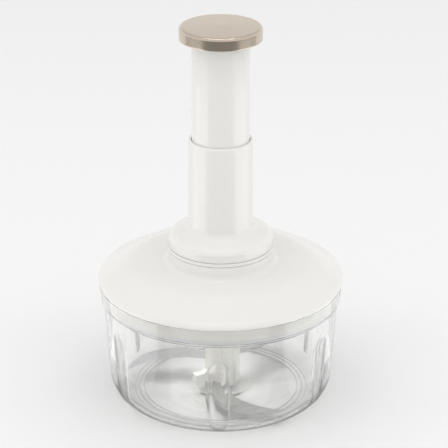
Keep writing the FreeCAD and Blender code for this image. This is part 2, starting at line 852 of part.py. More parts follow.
def make_blade(name, reach, height, angle):
    """A flat sickle blade with its tip on +X before it is turned to its angle.

    The cutting edge bows outwards from the heel to the tip, the inner edge runs back to the throat,
    and a tang between heel and throat reaches into the hub. The cutting edge is ground from above.
    The two edges keep the radii that suit the longest blade.
    """
    body = new_body(name)
    sketch = new_sketch(body, "XY_Plane")
    tip_half = size.blade_tip_width / 2.0
    heel = (size.blade_heel_along, -size.blade_heel_across)
    throat = (size.blade_throat_along, -size.blade_throat_across)
    cutting_radius = edge_radius(heel, (blade_reach, -tip_half), size.blade_cutting_bow)
    inner_radius = edge_radius(throat, (blade_reach, tip_half), size.blade_inner_bow)
    places = {
        "heel": heel,
        "outer_tip": (reach, -tip_half),
        "inner_tip": (reach, tip_half),
        "throat": throat,
        "tang_throat": (size.blade_tang_throat_along, -size.blade_tang_throat_across),
        "tang_heel": (-size.blade_tang_heel_along, -size.blade_tang_heel_across),
    }
    points = {key: FreeCAD.Vector(along.value, across.value, 0) for key, (along, across) in places.items()}
    cutting, centre = draw_edge(sketch, points["heel"], points["outer_tip"], cutting_radius)
    tip = sketch.addGeometry(Part.LineSegment(points["outer_tip"], points["inner_tip"]), False)
    inner, _ = draw_edge(sketch, points["throat"], points["inner_tip"], inner_radius)
    throat_side = sketch.addGeometry(Part.LineSegment(points["throat"], points["tang_throat"]), False)
    tang_end = sketch.addGeometry(Part.LineSegment(points["tang_throat"], points["tang_heel"]), False)
    heel_side = sketch.addGeometry(Part.LineSegment(points["tang_heel"], points["heel"]), False)
    meetings = (
        (cutting, 2, tip, 1, "outer_tip"),
        (tip, 2, inner, 2, "inner_tip"),
        (inner, 1, throat_side, 1, "throat"),
        (throat_side, 2, tang_end, 1, "tang_throat"),
        (tang_end, 2, heel_side, 1, "tang_heel"),
        (heel_side, 2, cutting, 1, "heel"),
    )
    for first, first_end, second, second_end, place in meetings:
        sketch.addConstraint(Sketcher.Constraint("Coincident", first, first_end, second, second_end))
        pin_point(sketch, second, second_end, *places[place])
    pad = body.newObject("PartDesign::Pad", name + "_sheet")
    pad.Profile = sketch
    bind(pad, "Length", size.blade_thickness)
    doc.recompute()
    grind_cutting_edge(body, centre, cutting_radius)
    bind(body, ".Placement.Base.z", height)
    bind(body, ".Placement.Rotation.Angle", angle)
    doc.recompute()
    return body


def grind_cutting_edge(body, centre, edge):
    """Grind the bevel: turn a triangular cut about the centre of the cutting edge's arc."""
    sketch = body.newObject("Sketcher::SketchObject", body.Name + "_bevel")
    sketch.AttachmentSupport = [(origin_feature(body, "XZ_Plane"), "")]
    sketch.MapMode = "FlatFace"
    sketch.AttachmentOffset = FreeCAD.Placement(FreeCAD.Vector(centre.x, 0, -centre.y), FreeCAD.Rotation())
    draw_outline(sketch, [
        (edge - size.blade_bevel_width, size.blade_thickness),
        (edge + size.free_gap, size.blade_edge_land),
        (edge + size.free_gap, size.blade_thickness * 2.0),
        (edge - size.blade_bevel_width, size.blade_thickness * 2.0),
    ])
    groove = body.newObject("PartDesign::Groove", body.Name + "_ground")
    groove.Profile = sketch
    groove.ReferenceAxis = (sketch, ["V_Axis"])
    groove.Angle = 360
    doc.recompute()


def make_fin(name, turns, reach, rise, height, bevel):
    """A radial fin of the hub, a number of steps round from the first, with its lower corner cut off."""
    bottom = hub_bottom + rise
    top = bottom + height
    outer = size.hub_radius + reach
    body = new_body(name)
    sketch = new_sketch(body, "XZ_Plane", -size.fin_thickness / 2.0)
    draw_outline(sketch, [
        (hub_bush_radius, bottom),
        (outer - bevel, bottom),
        (outer, bottom + bevel),
        (outer, top),
        (hub_bush_radius, top),
    ])
    pad = body.newObject("PartDesign::Pad", name + "_pad")
    pad.Profile = sketch
    bind(pad, "Length", size.fin_thickness)
    bind(body, ".Placement.Rotation.Angle", size.fin_first_angle + size.fin_step_angle * turns)
    doc.recompute()
    return body


def make_hub(blades):
    """The tall hub: shaft, three fins, hexagonal head, pin bore and a seat moulded round each blade."""
    bore_top = pin_top + size.hub_bore_spare
    shaft = turned("hub_shaft", [
        (hub_bush_radius + size.fixed_gap, hub_bottom),
        (size.hub_radius, hub_bottom),
        (size.hub_radius, hub_top, size.hub_shoulder_rounding),
        (0, hub_top),
        (0, bore_top),
        (hub_bore_radius, bore_top),
        (hub_bore_radius, bush_top),
        (hub_bush_radius + size.fixed_gap, bush_top),
    ])
    fins = [
        make_fin("front_left_fin", 0.0, size.front_left_fin_reach, size.front_left_fin_rise,
                 size.front_left_fin_height, size.front_left_fin_bevel),
        make_fin("front_right_fin", 1.0, size.front_right_fin_reach, size.front_right_fin_rise,
                 size.front_right_fin_height, size.front_right_fin_bevel),
        make_fin("rear_fin", 2.0, size.rear_fin_reach, size.rear_fin_rise,
                 size.rear_fin_height, size.rear_fin_bevel),
    ]
    head = hexagon("hub_head", size.hub_hex_flats, hub_top - size.free_gap, hex_top)
    solid = joined("hub_solid", shaft, head, *fins)
    return cut_away("blade_hub", solid, *blades)


def make_hub_bush():
    """The brass bush in the foot of the hub."""
    return ring("hub_bush", hub_bore_radius, hub_bush_radius, boss_top + size.hub_bush_lift, bush_top)


# ---------------------------------------------------------------------------------------------
# Lid: shell, seal, underplate, collar, sleeve and their screws
# ---------------------------------------------------------------------------------------------


def make_lid_shell():
    """The white lid: neck, deck, falling crown, edge, rim and skirt, hollow below, with screw bosses."""
    slope = size.lid_crown_rise / size.lid_crown_span
    slant = square_root(slope * slope + 1.0)
    half_turn = (slant - 1.0) / slope
    edge_half_turn = slant - slope
    inner_break = crown_radius - size.lid_wall * half_turn
    inner_edge = edge_height + (rim_radius - skirt_bore_radius) * slope - size.lid_wall * slant
    # The crown's arc takes up a share of the slanting side, after the edge's own rounding.
    outer_side = size.lid_crown_span * slant - size.lid_edge_rounding * edge_half_turn
    inner_side = (skirt_bore_radius - inner_break) * slant - size.lid_inner_edge_rounding * edge_half_turn
    crown_rounding = outer_side * size.lid_crown_fullness / half_turn
    inner_crown_rounding = inner_side * size.lid_crown_fullness / half_turn
    shell = turned("lid_shell", [
        (neck_bore_radius, neck_top),
        (neck_radius, neck_top, size.seam_rounding),
        (neck_radius, deck_height, size.lid_neck_fillet),
        (crown_radius, deck_height, crown_rounding),
        (rim_radius, edge_height, size.lid_edge_rounding),
        (rim_radius, lid_rim_height, size.seam_rounding),
        (rim_bore_radius - size.skirt_gap, lid_rim_height),
        (skirt_radius, skirt_bottom),
        (skirt_bore_radius, skirt_bottom),
        (skirt_bore_radius, inner_edge, size.lid_inner_edge_rounding),
        (inner_break, deck_underside, inner_crown_rounding),
        (neck_bore_radius, deck_underside),
    ])
    cylinder_circle(shell, "Additive", size.lid_screw_boss_radius, underplate_top,
                    deck_underside + size.free_gap, lid_screw_circle, size.lid_screw_angle,
                    size.lid_screw_count)
    hole_top = skirt_bottom + size.lid_screw_length
    cylinder_circle(shell, "Subtractive", size.screw_shank_radius, underplate_top, hole_top,
                    lid_screw_circle, size.lid_screw_angle, size.lid_screw_count)
    return shell


def make_lid_seal():
    """The soft ring that seals the lid on the bowl's ledge."""
    outer = ledge_radius - size.skirt_gap
    bottom = ledge_height + size.seal_seat_gap
    return ring("lid_seal", outer - size.seal_width, outer, bottom, skirt_bottom)


def make_underplate():
    """The plate that closes the lid from below."""
    plate = ring("lid_underplate", underplate_bore_radius, underplate_radius, skirt_bottom, underplate_top)
    cylinder_circle(plate, "Subtractive", screw_hole_radius, skirt_bottom - size.free_gap,
                    underplate_top + size.free_gap, lid_screw_circle, size.lid_screw_angle,
                    size.lid_screw_count)
    return plate


def make_lid_screws():
    """The screws that hold the underplate to the lid's bosses."""
    top = skirt_bottom + size.lid_screw_length - size.free_gap
    return screw_circle("lid_screws", lid_screw_circle, size.lid_screw_count, size.lid_screw_angle,
                        skirt_bottom - size.screw_head_height, top)


def make_collar_ring():
    """The thin ring between the lid's neck and the handle sleeve."""
    inner = neck_radius - size.collar_wall
    return turned("collar_ring", [
        (inner, neck_top),
        (neck_radius, neck_top, size.seam_rounding),
        (neck_radius, collar_top, size.seam_rounding),
        (inner, collar_top),
    ])


def make_handle_sleeve():
    """The handle sleeve: guide tube, sloping shoulder, spigot in the lid's neck, and screw bosses."""
    spigot_radius = neck_bore_radius - size.fixed_gap
    spigot_inner = spigot_radius - size.sleeve_wall
    spigot_bottom = neck_top - size.spigot_depth
    sleeve = turned("handle_sleeve", [
        (sleeve_bore_radius, guide_bottom),
        (sleeve_neck_radius, guide_bottom),
        (sleeve_neck_radius, sleeve_neck_height - size.sleeve_wall),
        (spigot_inner, shoulder_height - size.sleeve_wall),
        (spigot_inner, spigot_bottom),
        (spigot_radius, spigot_bottom),
        (spigot_radius, collar_top),
        (sleeve_skirt_radius, collar_top, size.seam_rounding),
        (sleeve_skirt_radius, shoulder_height, size.sleeve_shoulder_rounding),
        (sleeve_neck_radius, sleeve_neck_height, size.sleeve_neck_fillet),
        (sleeve_top_radius, sleeve_top, size.sleeve_top_rounding),
        (sleeve_bore_radius, sleeve_top),
    ])
    screw_boss_top = shoulder_height - size.sleeve_wall / 2.0
    hole_top = flange_top + size.sleeve_screw_length
    cylinder_circle(sleeve, "Additive", size.sleeve_screw_boss_radius, flange_top, screw_boss_top,
                    sleeve_screw_circle, size.sleeve_screw_angle, size.sleeve_screw_count)
    cylinder_circle(sleeve, "Subtractive", size.screw_shank_radius, flange_top, hole_top,
                    sleeve_screw_circle, size.sleeve_screw_angle, size.sleeve_screw_count)
    return sleeve


def make_sleeve_screws():
    """The screws that clamp the lid between the drive housing's flange and the sleeve's bosses."""
    head_bottom = flange_bottom - size.screw_head_height
    top = flange_top + size.sleeve_screw_length - size.free_gap
    return screw_circle("sleeve_screws", sleeve_screw_circle, size.sleeve_screw_count,
                        size.sleeve_screw_angle, head_bottom, top)


# ---------------------------------------------------------------------------------------------
# Drive: housing, clutch, spiral rod
# ---------------------------------------------------------------------------------------------


def make_drive_housing():
    """The cup in the lid's neck that carries the clutch and the bearing plate."""
    floor_bore = stub_radius + size.free_gap
    seal_top = underplate_top + size.shaft_seal_height
    housing = turned("drive_housing", [
        (shaft_seal_radius, underplate_top),
        (housing_radius, underplate_top),
        (housing_radius, flange_bottom),
        (flange_radius, flange_bottom),
        (flange_radius, flange_top),
        (housing_upper_radius, flange_top),
        (housing_upper_radius, plate_bottom),
        (housing_bore_radius, plate_bottom),
        (housing_bore_radius, housing_floor_top),
        (floor_bore, housing_floor_top),
        (floor_bore, seal_top),
        (shaft_seal_radius, seal_top),
    ])
    cylinder_circle(housing, "Subtractive", screw_hole_radius, flange_bottom - size.free_gap,
                    flange_top + size.free_gap, sleeve_screw_circle, size.sleeve_screw_angle,
                    size.sleeve_screw_count)
    return housing


def make_shaft_seal():
    """The soft lip ring round the output coupling's stub."""
    inner = stub_radius + size.running_gap
    outer = shaft_seal_radius - size.fixed_gap
    return ring("shaft_seal", inner, outer, underplate_top, underplate_top + size.shaft_seal_height)


def make_thrust_washer():
    """The washer under the output coupling."""
    inner = stub_radius + size.free_gap
    top = housing_floor_top + size.thrust_washer_thickness
    return ring("thrust_washer", inner, disc_radius + size.thrust_washer_overhang, housing_floor_top, top)


def make_output_coupling():
    """The lower clutch half: a toothed disc on a stub with a hexagonal socket for the hub."""
    centre_rise = disc_top - size.ratchet_mesh_gap
    disc = turned("coupling_disc", [
        (0, coupling_bottom),
        (stub_radius, coupling_bottom),
        (stub_radius, disc_bottom),
        (disc_radius, disc_bottom),
        (disc_radius, disc_top),
        (size.ratchet_inner_radius, disc_top),
        (size.ratchet_inner_radius, centre_rise),
        (0, centre_rise),
    ])
    teeth = ratchet_teeth("coupling_teeth", disc_top, size.ratchet_tooth_height, 1)
    toothed = joined("coupling_toothed", disc, teeth)
    socket_top = hex_top + size.coupling_socket_spare
    socket = hexagon("hub_socket", socket_flats, coupling_bottom - size.free_gap, socket_top)
    return cut_away("output_coupling", toothed, socket)


def make_clutch_driver():
    """The upper clutch half, fixed on the rod's journal, with teeth that hang into the coupling's."""
    bore = size.rod_journal_radius + size.fixed_gap
    disc = turned("driver_disc", [
        (bore, driver_bottom),
        (ratchet_radius, driver_bottom),
        (ratchet_radius, driver_top),
        (driver_hub_radius, driver_top),
        (driver_hub_radius, driver_hub_top),
        (bore, driver_hub_top),
    ])
    teeth = ratchet_teeth("driver_teeth", driver_bottom, size.ratchet_tooth_height, -1)
    return joined("clutch_driver", disc, teeth)


def make_clutch_spring():
    """The light spring that keeps the clutch halves in mesh."""
    wire = size.clutch_spring_wire_radius
    mean_radius = driver_hub_radius + size.clutch_spring_hub_gap + wire
    return coil("clutch_spring", mean_radius, wire, size.clutch_spring_turns,
                driver_top + size.fixed_gap, plate_bottom - size.fixed_gap)


def make_bearing_plate():
    """The plate that seats the return spring and carries the rod's bush."""
    inner = rod_bush_radius + size.fixed_gap
    outer = housing_upper_radius - size.fixed_gap
    return ring("bearing_plate", inner, outer, plate_bottom, plate_top)


def make_rod_bush():
    """The flanged brass bush that the rod's journal turns in."""
    flange_underside = plate_bottom - size.rod_bush_flange_thickness
    return turned("rod_bush", [
        (rod_bush_bore_radius, flange_underside),
        (rod_bush_flange_radius, flange_underside),
        (rod_bush_flange_radius, plate_bottom),
        (rod_bush_radius, plate_bottom),
        (rod_bush_radius, plate_top),
        (rod_bush_bore_radius, plate_top),
    ])


def make_spiral_rod():
    """The drive rod: journal, collar, and a flat bar with a left-hand twist up to the stop washer."""
    journal = turned("rod_journal", [
        (0, rod_bottom),
        (size.rod_journal_radius, rod_bottom),
        (size.rod_journal_radius, rod_collar_bottom),
        (rod_collar_radius, rod_collar_bottom),
        (rod_collar_radius, rod_collar_top),
        (0, rod_collar_top),
    ])
    bar = twisted_bar("rod_bar", size.rod_journal_radius * 2.0, size.rod_thickness,
                      rod_collar_top - size.free_gap, rod_top, nut_bottom)
    solid = joined("rod_solid", journal, bar)
    hole = doc.addObject("Part::Cylinder", "rod_screw_hole")
    bind(hole, "Radius", size.small_screw_shank_radius)
    bind(hole, "Height", size.small_screw_length + size.free_gap)
    bind(hole, ".Placement.Base.z", rod_top - size.small_screw_length)
    return cut_away("spiral_rod", solid, hole)


def make_stop_washer():
    """The washer on the rod's top that the drive nut comes up against."""
    return ring("stop_washer", size.small_screw_shank_radius + size.screw_hole_gap, size.stop_washer_radius,
                rod_top, rod_top + size.stop_washer_thickness)


def make_rod_screw():
    """The small screw that holds the stop washer."""
    head_bottom = rod_top + size.stop_washer_thickness
    return turned("rod_screw", [
        (0, rod_top - size.small_screw_length + size.free_gap),
        (size.small_screw_shank_radius, rod_top - size.small_screw_length + size.free_gap),
        (size.small_screw_shank_radius, head_bottom),
        (size.small_screw_head_radius, head_bottom),
        (size.small_screw_head_radius, head_bottom + size.screw_head_height),
        (0, head_bottom + size.screw_head_height),
    ])


# ---------------------------------------------------------------------------------------------
# Plunger: tube, drive nut, pins, spring, insert and push cap
# ---------------------------------------------------------------------------------------------

nut_pin_height = nut_bottom + size.nut_height / 2.0


def nut_pin_cylinder(name, angle, start, end):
    """A level cylinder along a radius, at the height of the nut's pins."""
    pin = doc.addObject("Part::Cylinder", name)
    pin.Placement = FreeCAD.Placement(FreeCAD.Vector(), FreeCAD.Rotation(FreeCAD.Vector(0, 1, 0), 90))
    pin.Placement = FreeCAD.Placement(FreeCAD.Vector(), FreeCAD.Rotation(UP, angle)).multiply(pin.Placement)
    bind(pin, "Radius", size.nut_pin_radius)
    bind(pin, "Height", end - start)
    bind(pin, ".Placement.Base.x", start * cosine(angle))
    bind(pin, ".Placement.Base.y", start * sine(angle))
    bind(pin, ".Placement.Base.z", nut_pin_height)
    return pin


def nut_pin_set(name, end):
    """The row of level cylinders for the nut's pins, spaced evenly round, out to a radius."""
    start = size.plunger_radius - size.nut_pin_length
    count = SIZES["nut_pin_count"]
    return [
        nut_pin_cylinder(f"{name}_{number}", size.nut_pin_angle.value + number * 360.0 / count, start, end)
        for number in range(count)
    ]


def nut_pin_holes(name):
    """Cutters for the pin holes, which run out through the tube's wall."""
    return nut_pin_set(name, size.plunger_radius + size.free_gap)


def make_plunger_tube():
    """The white inner tube that slides in the handle sleeve."""
    tube = ring("plunger_tube_blank", plunger_bore_radius, size.plunger_radius, plunger_bottom, plunger_top)
    return cut_away("plunger_tube", tube, *nut_pin_holes("tube"))


def make_drive_nut():
    """The nut whose twisted slot turns the rod as the plunger goes down."""
    outer = plunger_bore_radius - size.fixed_gap
    blank = turned("drive_nut_blank", [
        (0, nut_bottom),
        (outer, nut_bottom),
        (outer, nut_top),
        (0, nut_top),
    ])
    slot_width = size.rod_journal_radius * 2.0 + size.nut_slot_gap * 2.0
    slot_thickness = size.rod_thickness + size.nut_slot_gap * 2.0
    slot = twisted_bar("drive_nut_slot", slot_width, slot_thickness, nut_bottom - size.free_gap,
                       nut_top + size.free_gap, nut_bottom)
    return cut_away("drive_nut", blank, slot, *nut_pin_holes("nut"))


def make_nut_pins():
    """The pins that hold the nut in the tube."""
    group = doc.addObject("Part::Compound", "nut_pins")
    group.Label = "nut_pins"
    group.Links = nut_pin_set("nut_pin", size.plunger_radius - size.running_gap)
    return group


def make_return_spring():
    """The spring that lifts the plunger, between the bearing plate and the drive nut."""
    wire = size.return_spring_wire_radius
    mean_radius = plunger_bore_radius - size.return_spring_tube_gap - wire
    return coil("return_spring", mean_radius, wire, size.return_spring_turns, plate_top, nut_bottom)


def make_cap_insert():
    """The plug in the tube's top that the cap is screwed to."""
    outer = plunger_bore_radius - size.fixed_gap
    bottom = plunger_top - size.insert_depth
    return turned("cap_insert", [
        (screw_hole_radius, insert_web_bottom),
        (outer - size.insert_wall, insert_web_bottom),
        (outer - size.insert_wall, bottom),
        (outer, bottom),
        (outer, plunger_top),
        (outer - size.insert_wall, plunger_top),
        (outer - size.insert_wall, cap_boss_bottom),
        (screw_hole_radius, cap_boss_bottom),
    ])


def make_push_cap():
    """The push cap: a low crowned disc with a short skirt and a screw boss below."""
    hole_top = cap_top - size.cap_wall / 2.0
    skirt_inner = cap_radius - size.cap_wall
    return turned("push_cap", [
        (0, hole_top),
        (size.screw_shank_radius, hole_top),
        (size.screw_shank_radius, cap_boss_bottom),
        (size.cap_boss_radius, cap_boss_bottom),
        (size.cap_boss_radius, cap_underside),
        (skirt_inner, cap_underside),
        (skirt_inner, cap_bottom),
        (cap_radius, cap_bottom, size.cap_skirt_rounding),
        (cap_radius, cap_top, size.cap_edge_rounding),
        (0, cap_top + size.cap_crown),
    ])


def make_cap_screw():
    """The screw through the insert into the cap's boss."""
    head_bottom = insert_web_bottom - size.screw_head_height
    return turned("cap_screw", [
        (0, head_bottom),
        (size.screw_head_radius, head_bottom),
        (size.screw_head_radius, insert_web_bottom),
        (size.screw_shank_radius, insert_web_bottom),
        (size.screw_shank_radius, cap_underside),
        (0, cap_underside),
    ])


# ---------------------------------------------------------------------------------------------
# Build, check and write
# ---------------------------------------------------------------------------------------------

lower_blade = make_blade(
    "lower_blade", blade_reach - size.lower_blade_shortening, lower_blade_height, size.lower_blade_angle)
middle_blade = make_blade("middle_blade", blade_reach, middle_blade_height, size.middle_blade_angle)
upper_blade = make_blade("upper_blade", blade_reach, upper_blade_height, size.upper_blade_angle)

pieces = [
    make_bowl(),
    make_foot_ring(),
    make_floor_pin(),
    lower_blade,
    middle_blade,
    upper_blade,
    make_hub((lower_blade, middle_blade, upper_blade)),
    make_hub_bush(),
    make_lid_shell(),
    make_lid_seal(),
    make_underplate(),
    make_lid_screws(),
    make_collar_ring(),
    make_handle_sleeve(),
    make_sleeve_screws(),
    make_drive_housing(),
    make_shaft_seal(),
    make_thrust_washer(),
    make_output_coupling(),
    make_clutch_driver(),
    make_clutch_spring(),
    make_bearing_plate(),
    make_rod_bush(),
    make_spiral_rod(),
    make_stop_washer(),
    make_rod_screw(),
    make_plunger_tube(),
    make_drive_nut(),
    make_nut_pins(),
    make_return_spring(),
    make_cap_insert(),
    make_push_cap(),
    make_cap_screw(),
]

doc.recompute()

for item in doc.Objects:
    if {"Invalid", "Error"} & set(item.State):
        raise RuntimeError(f"{item.Label} did not recompute: {item.State}")

os.makedirs("parts", exist_ok=True)
for piece in pieces:
    shape = piece.Shape
    if shape.isNull() or not shape.isValid() or shape.Volume <= 0:
        raise RuntimeError(f"{piece.Label} has no valid solid")
    shape.exportStep(f"parts/{piece.Label}.step")
    box = shape.BoundBox
    print(f"{piece.Label}: {len(shape.Solids)} solid(s), {shape.Volume:.0f} mm3, "
          f"z {box.ZMin:.2f} to {box.ZMax:.2f}, x {box.XMin:.2f} to {box.XMax:.2f}")
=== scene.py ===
"""Looks of a press-top food chopper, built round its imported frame.

The classes give their sizes in millimetres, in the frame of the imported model: +Z up, the origin on the
table under the bowl's centre, -Y towards the user. Meshes are written in metres, with every object at
the origin and its place in its mesh. The studio's own places and sizes are in metres.
"""

import logging
import math
from dataclasses import dataclass
from enum import Enum
from typing import ClassVar, Optional, Sequence, Union

import bpy
import numpy as np
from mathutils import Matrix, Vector

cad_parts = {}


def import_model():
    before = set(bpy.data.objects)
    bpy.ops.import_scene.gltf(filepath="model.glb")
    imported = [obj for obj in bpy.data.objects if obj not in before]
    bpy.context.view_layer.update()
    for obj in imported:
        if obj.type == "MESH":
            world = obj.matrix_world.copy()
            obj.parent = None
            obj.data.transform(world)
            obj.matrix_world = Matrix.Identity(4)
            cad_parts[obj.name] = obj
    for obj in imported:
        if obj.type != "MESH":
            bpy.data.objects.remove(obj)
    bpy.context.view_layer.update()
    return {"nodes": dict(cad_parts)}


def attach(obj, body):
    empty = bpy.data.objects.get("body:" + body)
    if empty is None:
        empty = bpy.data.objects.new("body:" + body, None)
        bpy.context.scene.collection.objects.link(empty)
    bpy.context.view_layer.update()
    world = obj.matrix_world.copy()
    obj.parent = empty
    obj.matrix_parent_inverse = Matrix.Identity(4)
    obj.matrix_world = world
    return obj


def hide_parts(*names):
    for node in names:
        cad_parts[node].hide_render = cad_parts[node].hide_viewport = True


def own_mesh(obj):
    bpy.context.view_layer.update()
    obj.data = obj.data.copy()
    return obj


LOG = logging.getLogger("food_chopper")
MM = 0.001
TURN = 2.0 * math.pi
# Corners rounded by less than FINE_ROUNDING millimetres take at least FINE_STEP degrees a step, and
# every arc has at least ARC_PIECES steps.
FINE_ROUNDING = 1.0
FINE_STEP = 20.0
ARC_PIECES = 3
# Further out, in millimetres, than any piece.
FAR_OUT = 1000.0
# Most values of a noise texture lie between these two.
NOISE_LOW = 0.25
NOISE_HIGH = 0.75
# Sockets of a colour mix node, where labels come more than once.
MIX_FACTOR = 0
MIX_FIRST = 6
MIX_SECOND = 7
MIX_RESULT = 2

Colour = tuple[float, float, float]
Place = tuple[float, float, float]
Corner = tuple[float, float, float]
Value = Union[float, Colour, bpy.types.NodeSocket]


class Body(Enum):
    """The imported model's bodies that carry new pieces."""

    BOWL = "bowl"
    BLADES = "blades"
    LID = "lid"
    PLUNGER = "plunger"


class Slot(Enum):
    """The record's material slots."""

    CLEAR = "clear_plastic"
    WHITE = "white_plastic"
    TAUPE = "taupe_plastic"
    IVORY = "ivory_plastic"
    BLADE = "blade_steel"
    STEEL = "steel"
    SPRING = "spring_steel"
    BRASS = "brass"
    SILICONE = "silicone"


# ---------------------------------------------------------------------------------------------
# Surfaces
# ---------------------------------------------------------------------------------------------


@dataclass(frozen=True)
class Shell:
    """A closed surface as arrays: places in millimetres, and faces of four and three corners."""

    places: np.ndarray
    quads: np.ndarray
    triangles: np.ndarray

    def volume(self) -> float:
        """Work out the signed volume: the sum over the faces of a . (b x c) / 6.

        Returns:
            The volume, which is positive when the faces point outwards.
        """
        fans = [self.triangles, self.quads[:, [0, 1, 2]], self.quads[:, [0, 2, 3]]]
        corners = self.places[np.concatenate(fans)]
        crossed = np.cross(corners[:, 1], corners[:, 2])
        return float(np.einsum("ij,ij->", corners[:, 0], crossed) / 6.0)

    def outward(self) -> "Shell":
        """Turn the faces to point outwards.

        Returns:
            This shell where they do already, and otherwise one with the faces turned round.
        """
        if self.volume() >= 0.0:
            return self
        return Shell(self.places, self.quads[:, ::-1], self.triangles[:, ::-1])

    def turned(self, angle: float) -> "Shell":
        """The shell turned about the Z axis.

        Args:
            angle: The turn in degrees, anticlockwise from above.

        Returns:
            A new shell with x' = x cos a - y sin a and y' = x sin a + y cos a.
        """
        c, s = math.cos(math.radians(angle)), math.sin(math.radians(angle))
        turn = np.array(((c, -s, 0.0), (s, c, 0.0), (0.0, 0.0, 1.0)))
        return Shell(self.places @ turn.T, self.quads, self.triangles)


def joined(shells: Sequence[Shell]) -> Shell:
    """Put several shells into one.

    Args:
        shells: The shells, each closed by itself.

    Returns:
        One shell, with the faces of each counted on from the places of those before it.
    """
    starts = np.cumsum([0] + [len(shell.places) for shell in shells])
    return Shell(
        np.concatenate([shell.places for shell in shells]),
        np.concatenate([shell.quads + start for shell, start in zip(shells, starts)]),
        np.concatenate([shell.triangles + start for shell, start in zip(shells, starts)]),
    )


def grid_shell(grid: np.ndarray, ring: bool) -> Shell:
    """Close a grid of places into a shell.

    Args:
        grid: Places as (rows, columns, 3). Columns always run round and meet.
        ring: True where the last row meets the first, as on a tube bent into a ring. False where the
            first and last rows are closed by a fan of triangles about their middles.

    Returns:
        The shell, with its faces pointing outwards.
    """
    rows, columns = grid.shape[:2]
    numbers = np.arange(rows * columns).reshape(rows, columns)
    below = numbers if ring else numbers[:-1]
    above = np.roll(numbers, -1, axis=0) if ring else numbers[1:]
    quads = np.stack((below, np.roll(below, -1, 1), np.roll(above, -1, 1), above), axis=-1).reshape(-1, 4)
    places = grid.reshape(-1, 3)
    triangles = np.zeros((0, 3), int)
    if not ring:
        middles = np.stack((grid[0].mean(axis=0), grid[-1].mean(axis=0)))
        places = np.concatenate((places, middles))
        first, last = numbers[0], numbers[-1]
        lower = np.stack((np.roll(first, -1), first, np.full(columns, rows * columns)), axis=-1)
        upper = np.stack((last, np.roll(last, -1), np.full(columns, rows * columns + 1)), axis=-1)
        triangles = np.concatenate((lower, upper))
    return Shell(places, quads, triangles).outward()


def round_axis(radii: np.ndarray, angles: np.ndarray, heights: np.ndarray) -> np.ndarray:
    """Places round the Z axis: x = r cos a, y = r sin a, z = height.

    Args:
        radii: Distances from the axis, as an array or one number.
        angles: Angles in radians.
        heights: Heights. The three are spread over one grid.

    Returns:
        The places, with x, y and z along the last axis.
    """
    across, along = radii * np.cos(angles), radii * np.sin(angles)
    return np.stack(np.broadcast_arrays(across, along, heights), axis=-1)


def unit(vector: np.ndarray) -> np.ndarray:
    """A vector's direction."""
    return vector / np.linalg.norm(vector)


def rounded_profile(
    corners: Sequence[Corner], ring: bool, step: float = 9.0, edge: float = 0.35
) -> np.ndarray:
    """Round the corners of a profile.

    A rounded corner becomes an arc that touches both of its sides: the arc's centre lies on the
    corner's bisector, at rounding / sin(half angle), and it leaves each side at rounding / tan(half
    angle). Each straight side gets a point close to either end, so that shading stays flat along it.

    Args:
        corners: (across, up, rounding) of each corner in turn.
        ring: True where the last corner is joined to the first.
        step: The turn between two points of an arc, in degrees, which is wider on the finest edges.
        edge: How close to a side's ends its extra points lie.

    Returns:
        The profile's points as (count, 2).
    """
    sharp = np.array([corner[:2] for corner in corners], float)
    count = len(sharp)
    parts = []
    for number, corner in enumerate(corners):
        rounding = corner[2]
        if rounding <= 0.0 or (not ring and number in (0, count - 1)):
            parts.append(sharp[number][None])
            continue
        here = sharp[number]
        before = unit(sharp[number - 1] - here)
        after = unit(sharp[(number + 1) % count] - here)
        half = 0.5 * math.acos(float(np.clip(before @ after, -1.0, 1.0)))
        centre = here + unit(before + after) * rounding / math.sin(half)
        start = here + before * rounding / math.tan(half) - centre
        end = here + after * rounding / math.tan(half) - centre
        first = math.atan2(start[1], start[0])
        sweep = (math.atan2(end[1], end[0]) - first + math.pi) % TURN - math.pi
        turn = step if rounding >= FINE_ROUNDING else max(step, FINE_STEP)
        pieces = max(ARC_PIECES, math.ceil(abs(math.degrees(sweep)) / turn))
        angles = first + sweep * np.linspace(0.0, 1.0, pieces + 1)
        parts.append(centre + rounding * np.stack((np.cos(angles), np.sin(angles)), axis=-1))
    points = []
    for number, part in enumerate(parts):
        points.append(part)
        if number == count - 1 and not ring:
            break
        leave, reach = part[-1], parts[(number + 1) % count][0]
        length = np.linalg.norm(reach - leave)
        if length > 3.0 * edge:
            step_in = (reach - leave) / length * edge
            points.append(np.stack((leave + step_in, reach - step_in)))
    return np.concatenate(points)


def turned_shell(
    profile: np.ndarray, ring: bool, columns: int = 192, inset: Union[float, np.ndarray] = 0.0
) -> Shell:
    """Turn a profile about the Z axis: x = r cos a, y = r sin a, z = height.

    Args:
        profile: (radius, height) points.
        ring: True for a ring whose profile is closed, False for one that starts and ends on the axis.
        columns: Steps round the axis.
        inset: How far the surface stands in from the profile, as (rows, columns) or one number.

    Returns:
        The turned shell.
    """
    angles = np.arange(columns) * TURN / columns
    rows = profile if ring else profile[1:-1]
    shell = grid_shell(round_axis(rows[:, :1] - inset, angles, rows[:, 1:]), ring)
    if not ring:
        shell.places[-2:, 2] = profile[[0, -1], 1]
    return shell


def plate_shell(outline: np.ndarray, low: float, high: float) -> Shell:
    """Raise a flat outline between two heights, closed above and below.

    Args:
        outline: (x, y) points round the outline, which is seen whole from its middle.
        low: Height of the underside.
        high: Height of the top.

    Returns:
        The plate's shell.
    """
    rows = [np.column_stack((outline, np.full(len(outline), height))) for height in (low, high)]
    return grid_shell(np.stack(rows), False)


def dress(piece: bpy.types.Object, material: bpy.types.Material) -> None:
    """Give a whole piece one finish."""
    piece.data.materials.clear()
    piece.data.materials.append(material)


# ---------------------------------------------------------------------------------------------
# Finishes
# ---------------------------------------------------------------------------------------------


